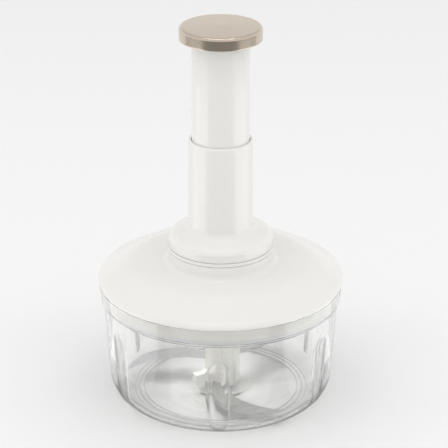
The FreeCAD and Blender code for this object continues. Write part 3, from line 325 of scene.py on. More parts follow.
class Tree:
    """A node tree, laid out from nothing."""

    def __init__(self, tree: bpy.types.NodeTree) -> None:
        """Take over a tree and empty it."""
        self.tree = tree
        self.tree.nodes.clear()

    def link(self, start: bpy.types.NodeSocket, end: bpy.types.NodeSocket) -> None:
        """Join two sockets."""
        self.tree.links.new(start, end)

    def feed(self, socket: bpy.types.NodeSocket, value: Value) -> None:
        """Give an input what it works with.

        Args:
            socket: The input.
            value: A number, a colour or three numbers, or the output to join to it.
        """
        if isinstance(value, bpy.types.NodeSocket):
            self.link(value, socket)
        elif socket.type == "RGBA":
            socket.default_value = (*value, 1.0)
        else:
            socket.default_value = value

    def add(self, kind: str, **settings: object) -> bpy.types.Node:
        """Add a node.

        Args:
            kind: The node's type.
            settings: Its properties by name, and its inputs by their labels with underscores.

        Returns:
            The node.
        """
        node = self.tree.nodes.new(kind)
        for key, value in settings.items():
            if hasattr(node, key):
                setattr(node, key, value)
            else:
                self.feed(node.inputs[key.replace("_", " ").title()], value)
        return node

    def reckon(self, operation: str, *values: Value) -> bpy.types.NodeSocket:
        """Do one step of arithmetic.

        Args:
            operation: The operation of a maths node.
            values: What it works on, in turn.

        Returns:
            The result.
        """
        node = self.add("ShaderNodeMath", operation=operation)
        for socket, value in zip(node.inputs, values):
            self.feed(socket, value)
        return node.outputs[0]

    def ranged(self, value: Value, start: Value, end: Value, low: Value, high: Value) -> bpy.types.NodeSocket:
        """Map a value evenly from one range to another, and keep it inside.

        Args:
            value: The value.
            start: Where the range that it comes from starts.
            end: Where that range ends.
            low: What it becomes at the start.
            high: What it becomes at the end.

        Returns:
            The mapped value.
        """
        limits = {"from_min": start, "from_max": end, "to_min": low, "to_max": high}
        return self.add("ShaderNodeMapRange", value=value, **limits).outputs["Result"]


class Board(Tree):
    """The node board of one material, with a Principled shader at its end."""

    def __init__(self, name: str) -> None:
        """Start a material with a shader and an output.

        Args:
            name: The material's name.
        """
        self.material = bpy.data.materials.new(name)
        self.material.use_nodes = True
        super().__init__(self.material.node_tree)
        self.output = self.add("ShaderNodeOutputMaterial")
        self.shader = self.add("ShaderNodeBsdfPrincipled")
        self.link(self.shader.outputs["BSDF"], self.output.inputs["Surface"])
        self.places = self.add("ShaderNodeTexCoord").outputs["Object"]

    def surface(self, settings: dict[str, Value]) -> None:
        """Feed the shader's inputs by their labels."""
        for label, value in settings.items():
            self.feed(self.shader.inputs[label], value)

    def axes(self) -> dict[str, bpy.types.NodeSocket]:
        """Split a place on the object, in metres.

        Returns:
            Its distance along each axis, by the axis's letter.
        """
        node = self.add("ShaderNodeSeparateXYZ")
        self.link(self.places, node.inputs[0])
        return {output.name: output for output in node.outputs}

    def noise(self, size: float, detail: float, stretch: Place = (1.0, 1.0, 1.0)) -> bpy.types.NodeSocket:
        """Noise over the object.

        Args:
            size: The size of its features in millimetres.
            detail: How many finer layers it has.
            stretch: How much closer the features lie along each axis.

        Returns:
            The noise's value from 0 to 1.
        """
        mapping = self.add("ShaderNodeMapping")
        mapping.inputs["Scale"].default_value = stretch
        self.link(self.places, mapping.inputs["Vector"])
        noise = self.add("ShaderNodeTexNoise", scale=1.0 / (size * MM), detail=detail)
        self.link(mapping.outputs["Vector"], noise.inputs["Vector"])
        return noise.outputs["Fac"]

    def spread(self, value: bpy.types.NodeSocket, low: float, high: float) -> bpy.types.NodeSocket:
        """Spread noise over the range between two values."""
        return self.ranged(value, NOISE_LOW, NOISE_HIGH, low, high)

    def tint(self, value: bpy.types.NodeSocket, first: Value, second: Value) -> bpy.types.NodeSocket:
        """Mix two colours.

        Args:
            value: How much of the second colour there is, from 0 to 1.
            first: The first colour.
            second: The second colour.

        Returns:
            The mixed colour.
        """
        node = self.add("ShaderNodeMix", data_type="RGBA")
        for socket, part in ((MIX_FACTOR, value), (MIX_FIRST, first), (MIX_SECOND, second)):
            self.feed(node.inputs[socket], part)
        return node.outputs[MIX_RESULT]

    def relief(self, value: bpy.types.NodeSocket, depth: float) -> None:
        """Add fine relief to the shader's surface.

        Args:
            value: The relief's height, from 0 to 1.
            depth: Its full height in millimetres.
        """
        node = self.add("ShaderNodeBump", strength=1.0, distance=depth * MM)
        self.link(value, node.inputs["Height"])
        self.link(node.outputs["Normal"], self.shader.inputs["Normal"])


def dimmed(colour: Colour, share: float) -> Colour:
    """A colour with less light in it."""
    return tuple(part * share for part in colour)


@dataclass(frozen=True)
class Plastic:
    """Moulded plastic: an almost even colour, a faint ripple from the mould, and a varied gloss."""

    name: str
    colour: Colour
    roughness: float = 0.24
    unevenness: float = 0.05
    ripple: float = 0.0025
    ripple_size: float = 2.2
    specular: float = 0.5
    metallic: float = 0.0
    scatter: float = 0.0
    scatter_scale: float = 0.002
    scatter_reach: Colour = (1.0, 0.9, 0.8)
    patch_shade: float = 0.985
    patch_size: float = 14.0
    gloss_size: float = 5.0
    # Painted light: a lighter colour for what stands below a height, the skirt in shade under the rim, and
    # the band of heights over which the two mix.
    painted_light_colour: Optional[Colour] = None
    painted_light_height: float = 77.3
    painted_light_band: float = 0.2

    def add_painted_light(self, board: Board, even: bpy.types.NodeSocket) -> bpy.types.NodeSocket:
        """Give what stands below a height its own, lighter colour: painted light that lifts the shade on a
        skirt seen through clear plastic.

        Args:
            board: The board of the finish.
            even: The colour above that height.

        Returns:
            The colour of both parts.
        """
        low, high = (self.painted_light_height - self.painted_light_band) * MM, self.painted_light_height * MM
        return board.tint(board.ranged(board.axes()["Z"], low, high, 0.0, 1.0), self.painted_light_colour, even)

    def material(self) -> bpy.types.Material:
        """Build the node material.

        Returns:
            The material.
        """
        board = Board(self.name)
        darker = dimmed(self.colour, self.patch_shade)
        tone = board.tint(board.noise(self.patch_size, 2.0), self.colour, darker)
        gloss = board.noise(self.gloss_size, 3.0)
        least, most = self.roughness - self.unevenness, self.roughness + self.unevenness
        board.surface(
            {
                # Below the skirt's height the colour takes the painted light.
                "Base Color": self.add_painted_light(board, tone) if self.painted_light_colour else tone,
                "Roughness": board.spread(gloss, least, most),
                "Specular IOR Level": self.specular,
                "Metallic": self.metallic,
            }
        )
        board.relief(board.noise(self.ripple_size, 2.0), self.ripple)
        if self.scatter > 0.0:
            board.surface(
                {
                    "Subsurface Weight": self.scatter,
                    "Subsurface Scale": self.scatter_scale,
                    "Subsurface Radius": self.scatter_reach,
                }
            )
        return board.material


@dataclass(frozen=True)
class Clear:
    """Clear plastic: light passes through and bends, and lamps reach what is behind it.

    Its colour is painted darker where the surface turns away from the eye, as painted shade for the dark
    edges, by the facing value: 0 where it is seen straight on and 1 where it is seen edge-on.
    """

    name: str
    colour: Colour
    roughness: float = 0.012
    unevenness: float = 0.4
    bend: float = 1.49
    ripple: float = 0.0006
    ripple_size: float = 6.0
    patch_shade: float = 0.995
    patch_size: float = 20.0
    gloss_size: float = 9.0
    # How much of it bends light, where the rest lets it straight on, and its tint for lamps' light.
    bent_share: float = 0.88
    shade: Colour = (0.87, 0.87, 0.87)
    # Painted shade: where the darker edge begins on the wall, at its bends and on the floor, and how soon it
    # is full.
    painted_shade_start: float = 0.85
    bend_painted_shade_start: float = 0.52
    floor_painted_shade_start: float = 0.999
    painted_shade_span: float = 0.2
    painted_shade_colour: Colour = (0.06, 0.06, 0.065)
    # The bends, where the painted shade begins sooner: the foot's corner, outside a radius and below a
    # height, and the step under the band.
    painted_shade_foot_radius: float = 56.5
    painted_shade_foot_band: float = 1.0
    painted_shade_foot_height: float = 14.0
    painted_shade_height_band: float = 4.0
    step_height: float = 66.0
    painted_shade_step_reach: float = 1.3

    def painted_shade_begins(self, board: Board) -> bpy.types.NodeSocket:
        """How far the surface has to turn away before the painted shade on its edge begins, which is sooner
        at a bend.

        The value goes from the floor's to the foot's with the distance to the Z axis, and from the
        foot's to the wall's with the height. The step under the band takes the bends' value again.

        Args:
            board: The board of the finish.

        Returns:
            The facing value at which the painted shade begins.
        """
        place = board.axes()
        level = board.add("ShaderNodeCombineXYZ", x=place["X"], y=place["Y"])
        radius = board.add("ShaderNodeVectorMath", operation="LENGTH")
        board.link(level.outputs[0], radius.inputs[0])
        low, high = self.painted_shade_foot_height * MM, (self.painted_shade_foot_height + self.painted_shade_height_band) * MM
        above = board.ranged(place["Z"], low, high, self.bend_painted_shade_start, self.painted_shade_start)
        step = board.reckon("COMPARE", place["Z"], self.step_height * MM, self.painted_shade_step_reach * MM)
        wall = board.add("ShaderNodeMix", data_type="FLOAT", factor=step, a=above, b=self.bend_painted_shade_start)
        near, far = (self.painted_shade_foot_radius - self.painted_shade_foot_band) * MM, self.painted_shade_foot_radius * MM
        start = wall.outputs["Result"]
        return board.ranged(radius.outputs["Value"], near, far, self.floor_painted_shade_start, start)

    def material(self) -> bpy.types.Material:
        """Build the node material.

        Returns:
            The material, whose shadow is the transparent shader's.
        """
        board = Board(self.name)
        facing = board.add("ShaderNodeLayerWeight", blend=0.5).outputs["Facing"]
        begins = self.painted_shade_begins(board)
        # Painted shade: the colour darkens towards the dark edge colour as the surface turns away from the
        # eye, in place of the dark edges that refraction shows.
        edge = board.ranged(facing, begins, board.reckon("ADD", begins, self.painted_shade_span), 0.0, 1.0)
        darker = dimmed(self.colour, self.patch_shade)
        even = board.tint(board.noise(self.patch_size, 1.0), self.colour, darker)
        gloss = board.noise(self.gloss_size, 2.0)
        least, most = self.roughness * (1.0 - self.unevenness), self.roughness * (1.0 + self.unevenness)
        board.surface(
            {
                "Base Color": board.tint(edge, even, self.painted_shade_colour),
                "Roughness": board.spread(gloss, least, most),
                "IOR": self.bend,
                "Transmission Weight": 1.0,
                "Alpha": self.bent_share,
            }
        )
        board.relief(board.noise(self.ripple_size, 1.0), self.ripple)
        passing = board.add("ShaderNodeBsdfTransparent")
        board.feed(passing.inputs["Color"], self.shade)
        in_shadow = board.add("ShaderNodeLightPath").outputs["Is Shadow Ray"]
        mix = board.add("ShaderNodeMixShader")
        shaders = (board.shader.outputs["BSDF"], passing.outputs["BSDF"])
        for socket, part in zip(mix.inputs, (in_shadow, *shaders)):
            board.link(part, socket)
        board.link(mix.outputs["Shader"], board.output.inputs["Surface"])
        return board.material


class Grain(Enum):
    """How a metal's surface is worked."""

    GROUND = (1.0, 14.0, 1.0)
    TURNED = (1.0, 1.0, 14.0)
    DRAWN = (3.0, 3.0, 3.0)


@dataclass(frozen=True)
class Metal:
    """Worked metal: fine scratches along its grain, and a gloss that varies with them."""

    name: str
    colour: Colour
    grain: Grain
    roughness: float = 0.26
    smoother: float = 0.06
    rougher: float = 0.08
    scratch: float = 0.0015
    scratch_size: float = 1.4
    scratch_shade: float = 0.94

    def material(self) -> bpy.types.Material:
        """Build the node material.

        Returns:
            The material.
        """
        board = Board(self.name)
        marks = board.noise(self.scratch_size, 4.0, self.grain.value)
        least, most = self.roughness - self.smoother, self.roughness + self.rougher
        board.surface(
            {
                "Base Color": board.tint(marks, self.colour, dimmed(self.colour, self.scratch_shade)),
                "Roughness": board.spread(marks, least, most),
                "Metallic": 1.0,
            }
        )
        board.relief(marks, self.scratch)
        return board.material


class Finishes:
    """Every finish of the chopper, built once."""

    BY_SLOT: ClassVar[dict[Slot, Union[Plastic, Clear, Metal]]] = {
        # The clear plastic carries painted shade at its edges, its foot's corner and the step under the band.
        Slot.CLEAR: Clear("clear_bowl_plastic", (1.0, 1.0, 0.995)),
        Slot.WHITE: Plastic(
            "white_lid_plastic",
            (0.86, 0.85, 0.825),
            roughness=0.17,
            ripple=0.001,
            # Painted light: the skirt below the rim is painted lighter than the lid, to lift the shade that
            # falls on it.
            painted_light_colour=(0.98, 0.97, 0.92),
        ),
        Slot.TAUPE: Plastic(
            "taupe_cap_pearl",
            (0.66, 0.575, 0.475),
            roughness=0.25,
            unevenness=0.02,
            metallic=0.85,
            ripple=0.0002,
        ),
        Slot.IVORY: Plastic("ivory_hub_plastic", (0.9, 0.895, 0.85), roughness=0.3, scatter=0.15),
        Slot.BLADE: Metal("ground_blade_steel", (0.66, 0.66, 0.665), Grain.GROUND),
        Slot.STEEL: Metal("turned_steel", (0.62, 0.62, 0.63), Grain.TURNED),
        Slot.SPRING: Metal("drawn_spring_wire", (0.5, 0.5, 0.51), Grain.DRAWN),
        Slot.BRASS: Metal("turned_brass", (0.74, 0.57, 0.28), Grain.TURNED),
        Slot.SILICONE: Plastic(
            "white_silicone", (0.84, 0.85, 0.85), roughness=0.48, specular=0.35, scatter=0.3, ripple=0.004
        ),
    }

    def __init__(self) -> None:
        """Build each slot's material."""
        self.materials = {slot: finish.material() for slot, finish in self.BY_SLOT.items()}

    def dress(self, piece: bpy.types.Object, slot: Slot) -> None:
        """Give a piece the finish of a slot."""
        dress(piece, self.materials[slot])


@dataclass
class Assembly:
    """A sub-assembly of the chopper, whose pieces share one set of finishes."""

    finishes: Finishes

    def add_piece(
        self, name: str, shell: Shell, body: Body, slot: Slot, node: str, crease: float = 32.0
    ) -> bpy.types.Object:
        """Make a piece from a shell, dress it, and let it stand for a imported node.

        Args:
            name: The piece's name.
            shell: Its surface in millimetres.
            body: The body it moves with.
            slot: The material slot it takes its finish from.
            node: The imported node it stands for.
            crease: The angle between two faces, in degrees, past which their edge stays sharp.

        Returns:
            The new object, riding on its body.
        """
        mesh = bpy.data.meshes.new(name)
        mesh.from_pydata((shell.places * MM).tolist(), [], shell.quads.tolist() + shell.triangles.tolist())
        mesh.validate()
        mesh.shade_smooth()
        mesh.set_sharp_from_angle(angle=math.radians(crease))
        piece = bpy.data.objects.new(name, mesh)
        bpy.context.scene.collection.objects.link(piece)
        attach(piece, body.value)
        self.finishes.dress(piece, slot)
        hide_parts(node)
        LOG.info("%s: %d faces, stands for %s", name, len(mesh.polygons), node)
        return piece


# ---------------------------------------------------------------------------------------------
# Bowl
# ---------------------------------------------------------------------------------------------


@dataclass
class Bowl(Assembly):
    """The clear bowl with its pressed flutes, and the soft ring it stands on."""

    standoff: float = 0.8
    floor_top: float = 3.0
    boss_top: float = 5.2
    base_radius: float = 69.0
    body_radius: float = 73.2
    corner: float = 14.5
    wall: float = 2.2
    band_bottom: float = 66.8
    band_radius: float = 74.6
    band_wall: float = 2.0
    step_height: float = 1.5
    ledge_height: float = 67.0
    rim_height: float = 77.5
    rim_radius: float = 76.0
    rim_rounding: float = 0.4
    flute_count: int = 6
    first_flute: float = -91.0
    flute_width: float = 11.7
    flute_depth: float = 2.8
    flute_top: float = 55.7
    flute_lip: float = 0.4
    flute_slope: float = 0.36
    # Degrees round the bowl: half of a flute's close columns, their pitch, and where plain wall begins.
    flute_reach: float = 5.6
    flute_pitch: float = 0.35
    plain_start: float = 7.0
    plain_columns: int = 14
    # Where close rows begin over the bowl's underside and end over the flutes, and their pitch.
    rows_start: float = 1.0
    rows_end: float = 2.0
    row_pitch: float = 0.9
    disc_radius: float = 19.0
    disc_height: float = 0.5
    disc_slope: float = 1.0
    boss_radius: float = 5.6
    pin_radius: float = 3.0
    ring_inner: float = 48.8
    ring_outer: float = 52.0
    ring_top: float = 2.0
    ring_gap: float = 0.05
    beads: tuple[float, ...] = (54.6, 51.6, 48.8)
    bead_height: float = 0.3
    bead_width: float = 0.5

    def bead(self, radius: float) -> list[Corner]:
        """One low bead moulded round the inside of the floor.

        Args:
            radius: The radius of its middle.

        Returns:
            Its corners, from its outer side in.
        """
        top = self.floor_top + self.bead_height
        half = self.bead_width / 2.0
        return [
            (radius + half, self.floor_top, 0.06),
            (radius + half * 0.5, top, 0.1),
            (radius - half * 0.5, top, 0.1),
            (radius - half, self.floor_top, 0.06),
        ]

    def outside(self) -> np.ndarray:
        """The outer half of the profile.

        Returns:
            Its points, from under the middle up to the rim.
        """
        corners = [
            (0.0, self.standoff, 0.0),
            (self.ring_inner, self.standoff, 0.15),
            (self.ring_inner, self.ring_top, 0.1),
            (self.ring_outer, self.ring_top, 0.1),
            (self.ring_outer, self.standoff, 0.15),
            (self.base_radius, self.standoff, self.corner - 0.4),
            (self.body_radius, self.band_bottom - self.step_height, 0.5),
            (self.band_radius, self.band_bottom, 0.3),
            (self.rim_radius, self.rim_height, self.rim_rounding),
            (self.rim_radius - self.band_wall, self.rim_height, 0.5),
        ]
        return rounded_profile(corners, False, step=5.0)

    def inside(self) -> np.ndarray:
        """The inner half of the profile.

        Returns:
            Its points, from the rim down to the middle of the floor.
        """
        disc_top = self.floor_top + self.disc_height
        corners = [
            (self.rim_radius - self.band_wall, self.rim_height, 0.0),
            (self.band_radius - self.band_wall, self.ledge_height, 0.5),
            (self.body_radius - self.wall, self.ledge_height, 0.8),
            (self.base_radius - self.wall, self.floor_top, self.corner - self.wall),
            *(corner for radius in self.beads for corner in self.bead(radius)),
            (self.disc_radius + self.disc_slope, self.floor_top, 0.8),
            (self.disc_radius - self.disc_slope, disc_top, 0.8),
            (self.boss_radius, disc_top, 0.4),
            (self.boss_radius, self.boss_top, 0.5),
            (self.pin_radius, self.boss_top, 0.2),
            (self.pin_radius, self.floor_top, 0.0),
            (0.0, self.floor_top, 0.0),
        ]
        return rounded_profile(corners, False, step=5.0)

    def refined(self, profile: np.ndarray) -> np.ndarray:
        """Add even points to the sides of a profile that stand at the flutes' heights.

        Args:
            profile: (radius, height) points.

        Returns:
            The profile with points put in along its steep sides there.
        """
        low, high = self.standoff + self.rows_start, self.flute_top + self.rows_end
        parts = []
        for start, end in zip(profile[:-1], profile[1:]):
            reached = min(start[1], end[1]) < high and max(start[1], end[1]) > low
            pieces = max(1, math.ceil(abs(end[1] - start[1]) / self.row_pitch)) if reached else 1
            share = np.arange(pieces)[:, None] / pieces
            parts.append(start + (end - start) * share)
        return np.concatenate([*parts, profile[-1:]])

    def angles(self) -> np.ndarray:
        """Angles round the bowl, close together in and beside each flute.

        Returns:
            The angles in radians.
        """
        pitch = 360.0 / self.flute_count
        fine = np.arange(-self.flute_reach, self.flute_reach + 0.01, self.flute_pitch)
        coarse = np.linspace(self.plain_start, pitch - self.plain_start, self.plain_columns)
        starts = self.first_flute + pitch * np.arange(self.flute_count)
        return np.radians((starts[:, None] + np.concatenate((fine, coarse))).ravel())

    def fluted(self, profile: np.ndarray, angles: np.ndarray, offset: float) -> np.ndarray:
        """Press the flutes into half of the bowl's profile.

        A flute is a round column of radius R whose middle line lies at a distance D from the bowl's
        axis and leans with the wall, and near its upper end leans further out, so that the flute runs
        out in an arch. At an angle d from its middle its face stands at D cos d - sqrt(R^2 - D^2 sin^2
        d) from the axis. The bowl's radius is the smaller of that and the profile's, blended over the
        lip's width so that the edge is soft.

        Args:
            profile: (radius, height) points.
            angles: Angles round the bowl in radians.
            offset: How far the column is grown, which is 0 outside and the wall's thickness inside.

        Returns:
            Places as (points, angles, 3).
        """
        column = (self.flute_width**2 / 4.0 + self.flute_depth**2) / (2.0 * self.flute_depth)
        beyond = column - self.flute_depth
        turn = self.flute_top - self.flute_depth / self.flute_slope
        lean = (self.body_radius - self.base_radius) / (self.band_bottom - self.step_height - self.standoff)
        pitch = TURN / self.flute_count
        start = math.radians(self.first_flute)
        off = (angles - start + pitch / 2.0) % pitch - pitch / 2.0
        profile_radius, heights = profile[:, :1], profile[:, 1:]
        distance = self.base_radius + lean * (heights - self.standoff) + beyond
        distance = distance + self.flute_slope * np.clip(heights - turn, 0.0, None)
        under_root = (column + offset) ** 2 - (distance * np.sin(off)) ** 2
        face = distance * np.cos(off) - np.sqrt(np.clip(under_root, 0.0, None))
        # Past the column's edge the face goes on outwards, by as much as the root's value is below 0.
        past = np.minimum(FAR_OUT, distance * np.cos(off) + np.clip(-under_root, 0.0, None))
        face = np.where(under_root > 0.0, face, past)
        radius = np.broadcast_to(profile_radius, face.shape)
        share = np.clip(0.5 + 0.5 * (face - radius) / self.flute_lip, 0.0, 1.0)
        blended = face * (1.0 - share) + radius * share - self.flute_lip * share * (1.0 - share)
        near_wall = profile_radius > self.disc_radius + offset
        radius = np.where(near_wall, np.minimum(blended, radius), radius)
        return round_axis(radius, angles, heights)

    def make_bowl(self) -> None:
        """Build the bowl as one sheet from under its middle, over the rim and down to its floor."""
        outside = self.refined(self.outside())[1:]
        inside = self.refined(self.inside())[1:-1]
        angles = self.angles()
        grid = np.concatenate((self.fluted(outside, angles, 0.0), self.fluted(inside, angles, self.wall)))
        shell = grid_shell(grid, False)
        self.add_piece("bowl_clear", shell, Body.BOWL, Slot.CLEAR, "bowl", crease=50.0)

    def make_foot_ring(self) -> None:
        """Build the soft ring, with its lower edges rolled."""
        inner, outer = self.ring_inner + self.ring_gap, self.ring_outer - self.ring_gap
        top = self.ring_top - self.ring_gap
        corners = [(inner, 0.0, 0.5), (outer, 0.0, 0.5), (outer, top, 0.1), (inner, top, 0.1)]
        shell = turned_shell(rounded_profile(corners, True), True)
        self.add_piece("foot_ring_soft", shell, Body.BOWL, Slot.SILICONE, "foot_ring")

    def build(self) -> None:
        """Build every piece of the bowl."""
        self.make_bowl()
        self.make_foot_ring()


# ---------------------------------------------------------------------------------------------
# Blades and hub
# ---------------------------------------------------------------------------------------------


@dataclass(frozen=True)
class BladePlace:
    """Where one blade sits on the hub."""

    name: str
    reach: float
    height: float
    angle: float


@dataclass(frozen=True)
class Fin:
    """One upright fin: its angle and reach, its lowest and highest point, and its lower corner's bevel."""

    angle: float
    reach: float
    low: float
    high: float
    bevel: float


@dataclass
class BladeSet(Assembly):
    """Three sickle blades on the tall hub that the lid drives."""

    thickness: float = 1.2
    tip_width: float = 1.0
    heel: tuple[float, float] = (4.0, -14.0)
    throat: tuple[float, float] = (9.0, -7.0)
    tang_heel: tuple[float, float] = (-2.5, -8.5)
    tang_throat: tuple[float, float] = (6.5, -2.5)
    cutting_radius: float = 32.5
    inner_radius: float = 44.0
    bevel: float = 2.4
    land: float = 0.25
    # The inner edge's flat, the least width of ground steel, and the greatest share of the blade.
    flat: float = 0.12
    least_ground: float = 0.02
    most_ground: float = 0.98
    # Stations along the blade and along its tang, and how many of them the grinding takes to begin.
    stations: int = 72
    tang_stations: int = 8
    grind_run: float = 3.0
    bottom: float = 5.5
    shaft_radius: float = 10.0
    shaft_top: float = 58.7
    shaft_step: float = 0.55
    shaft_step_angle: float = -87.0
    shaft_columns: int = 180
    bore: float = 5.03
    bore_top: float = 13.5
    hex_flats: float = 11.6
    hex_top: float = 69.2
    hex_bevel: tuple[float, float] = (0.7, 0.8)
    overlap: float = 0.3
    fin_root: float = 2.0
    fin_thickness: float = 5.0
    edge_width: float = 0.45
    edge_steps: int = 3
    edge_least_angle: float = 40.0
    places: tuple[BladePlace, ...] = (
        BladePlace("lower_blade", 60.5, 7.3, -48.5),
        BladePlace("middle_blade", 61.0, 17.6, 191.5),
        BladePlace("upper_blade", 61.0, 25.0, 71.5),
    )
    fins: tuple[Fin, ...] = (
        Fin(-145.0, 20.0, 5.2, 15.2, 3.0),
        Fin(-25.0, 12.2, 5.6, 40.0, 2.5),
        Fin(95.0, 13.5, 6.5, 30.0, 2.5),
    )

    @staticmethod
    def bowed(start: np.ndarray, end: np.ndarray, radius: float, shares: np.ndarray) -> np.ndarray:
        """Points along an arc that turns anticlockwise between two places.

        The centre lies to the left of the way, at sqrt(radius^2 - half chord^2) from its middle.

        Args:
            start: The first place.
            end: The last place.
            radius: The arc's radius.
            shares: How far along each point lies, from 0 to 1.

        Returns:
            The points as (count, 2).
        """
        half = (end - start) / 2.0
        length = np.linalg.norm(half)
        left = np.array((-half[1], half[0])) / length
        centre = start + half + left * math.sqrt(radius**2 - length**2)
        first = math.atan2(*(start - centre)[::-1])
        sweep = (math.atan2(*(end - centre)[::-1]) - first) % TURN
        angles = first + sweep * shares
        return centre + radius * np.stack((np.cos(angles), np.sin(angles)), axis=-1)

    def blade_shell(self, reach: float) -> Shell:
        """A sickle blade lying flat with its tip on +X, its underside at height 0.

        Each station along the blade runs from the inner edge to the cutting edge. The top stays at
        full thickness until it is a bevel's width from the cutting edge, and then falls evenly to
        the land that is left along the edge.

        Args:
            reach: How far the tip lies from the hub's axis.

        Returns:
            The blade's shell.
        """
        stations = np.linspace(0.0, 1.0, self.stations)
        tang = (np.arange(self.tang_stations) / self.tang_stations)[:, None]
        tip = self.tip_width / 2.0
        cutting = self.bowed(np.array(self.heel), np.array((reach, -tip)), self.cutting_radius, stations)
        inner = self.bowed(np.array(self.throat), np.array((reach, tip)), self.inner_radius, stations)
        heel_side = np.array(self.tang_heel) + (cutting[0] - self.tang_heel) * tang
        throat_side = np.array(self.tang_throat) + (inner[0] - self.tang_throat) * tang
        outer = np.concatenate((heel_side, cutting))
        back = np.concatenate((throat_side, inner))
        width = np.linalg.norm(outer - back, axis=1)
        run = np.arange(len(width)) - len(tang) + 1.0
        ground = np.clip(run, 0.0, self.grind_run) / self.grind_run
        bevel = np.minimum(self.bevel * ground + self.least_ground, width * self.most_ground)
        fall = (self.thickness - self.land) / self.bevel
        edge_top = np.maximum(self.thickness - fall * self.bevel * ground, self.land)
        back_top = np.minimum(self.thickness, self.land + fall * width)
        back_top = np.where(ground > 0.0, back_top, self.thickness)
        # Distances from the cutting edge of the points across the top, and their heights.
        full = width - self.flat
        halfway = bevel + (full - bevel) * 0.5
        across = np.stack((width, full, halfway, bevel, bevel * 0.5, 0.0 * bevel), axis=1)
        across = np.maximum.accumulate(across[:, ::-1], axis=1)[:, ::-1]
        level = np.minimum(back_top[:, None], edge_top[:, None] + fall * across)
        level = np.where(ground[:, None] > 0.0, level, self.thickness)
        share = across / width[:, None]
        spots = outer[:, None, :] * (1.0 - share[..., None]) + back[:, None, :] * share[..., None]
        top = np.concatenate((spots, level[..., None]), axis=2)
        under = np.concatenate((spots[:, ::-1], np.zeros((*share.shape, 1))), axis=2)
        return grid_shell(np.concatenate((top, under), axis=1), False)

    def make_blade(self, place: BladePlace) -> None:
        """Build one blade, turn it to its angle and raise it to its height.

        Args:
            place: Where it sits on the hub.
        """
        flat = self.blade_shell(place.reach).turned(place.angle)
        raised = Shell(flat.places + np.array((0.0, 0.0, place.height)), flat.quads, flat.triangles)
        name = place.name + "_ground"
        self.add_piece(name, raised, Body.BLADES, Slot.BLADE, place.name, crease=18.0)

    def shaft_shell(self) -> Shell:
        """The hub's shaft, whose left half stands a step further in than its right half.

        The radius is the profile's less an inset. Going round the left half from the back to the
        front, the inset grows from nothing as the square of the angle, and ends in a sharp step.

        Returns:
            The shaft's shell.
        """
        corners = [
            (0.0, self.bore_top, 0.0),
            (self.bore, self.bore_top, 0.2),
            (self.bore, self.bottom, 0.3),
            (self.shaft_radius, self.bottom, 0.6),
            (self.shaft_radius, self.shaft_top, 1.0),
            (0.0, self.shaft_top, 0.0),
        ]
        profile = rounded_profile(corners, False)
        angles = np.degrees(np.arange(self.shaft_columns) * TURN / self.shaft_columns)
        behind = (angles - self.shaft_step_angle) % 360.0
        fade = np.clip((behind - 180.0) / 180.0, 0.0, 1.0)
        outer = profile[1:-1, :1] > self.bore + 1.0
        inset = np.where(outer, self.shaft_step, 0.0) * fade**2
        return turned_shell(profile, False, self.shaft_columns, inset)

    def fin_shell(self, fin: Fin) -> Shell:
        """Draw a fin as (radius, height), and give it its thickness across that plane.

        Args:
            fin: Its place and size.

        Returns:
            The fin's shell.
        """
        root = self.shaft_radius - self.fin_root
        corners = [
            (root, fin.low, 0.3),
            (fin.reach - fin.bevel, fin.low, 0.8),
            (fin.reach, fin.low + fin.bevel, 0.8),
            (fin.reach, fin.high, 0.8),
            (root, fin.high, 0.3),
        ]
        half = self.fin_thickness / 2.0
        flat = plate_shell(rounded_profile(corners, True), -half, half)
        upright = flat.places[:, [0, 2, 1]]
        return Shell(upright, flat.quads, flat.triangles).outward().turned(fin.angle)

    def head_shell(self) -> Shell:
        """The six-sided head.

        Returns:
            A column from just inside the shaft's top, whose top edge is bevelled.
        """
        corners = np.radians(np.arange(6) * 60.0)
        radius = self.hex_flats / math.sqrt(3.0)
        inwards, down = self.hex_bevel
        rows = (
            (radius, self.shaft_top - self.overlap),
            (radius, self.hex_top - down),
            (radius - inwards, self.hex_top),
        )
        ring = np.stack((np.cos(corners), np.sin(corners)), axis=-1)
        grid = [np.column_stack((ring * size, np.full(6, height))) for size, height in rows]
        return grid_shell(np.stack(grid), False)

    def make_hub(self) -> None:
        """Build the hub from its shaft, head and fins, with small rounded edges."""
        shells = [self.shaft_shell(), self.head_shell(), *(self.fin_shell(fin) for fin in self.fins)]
        piece = self.add_piece("hub_moulded", joined(shells), Body.BLADES, Slot.IVORY, "blade_hub")
        edges = piece.modifiers.new("rounded_edges", "BEVEL")
        edges.width = self.edge_width * MM
        edges.segments = self.edge_steps
        edges.limit_method = "ANGLE"
        edges.angle_limit = math.radians(self.edge_least_angle)

    def build(self) -> None:
        """Build the hub and its blades."""
        self.make_hub()
        for place in self.places:
            self.make_blade(place)


# ---------------------------------------------------------------------------------------------
# Lid, collar and handle sleeve
# ---------------------------------------------------------------------------------------------


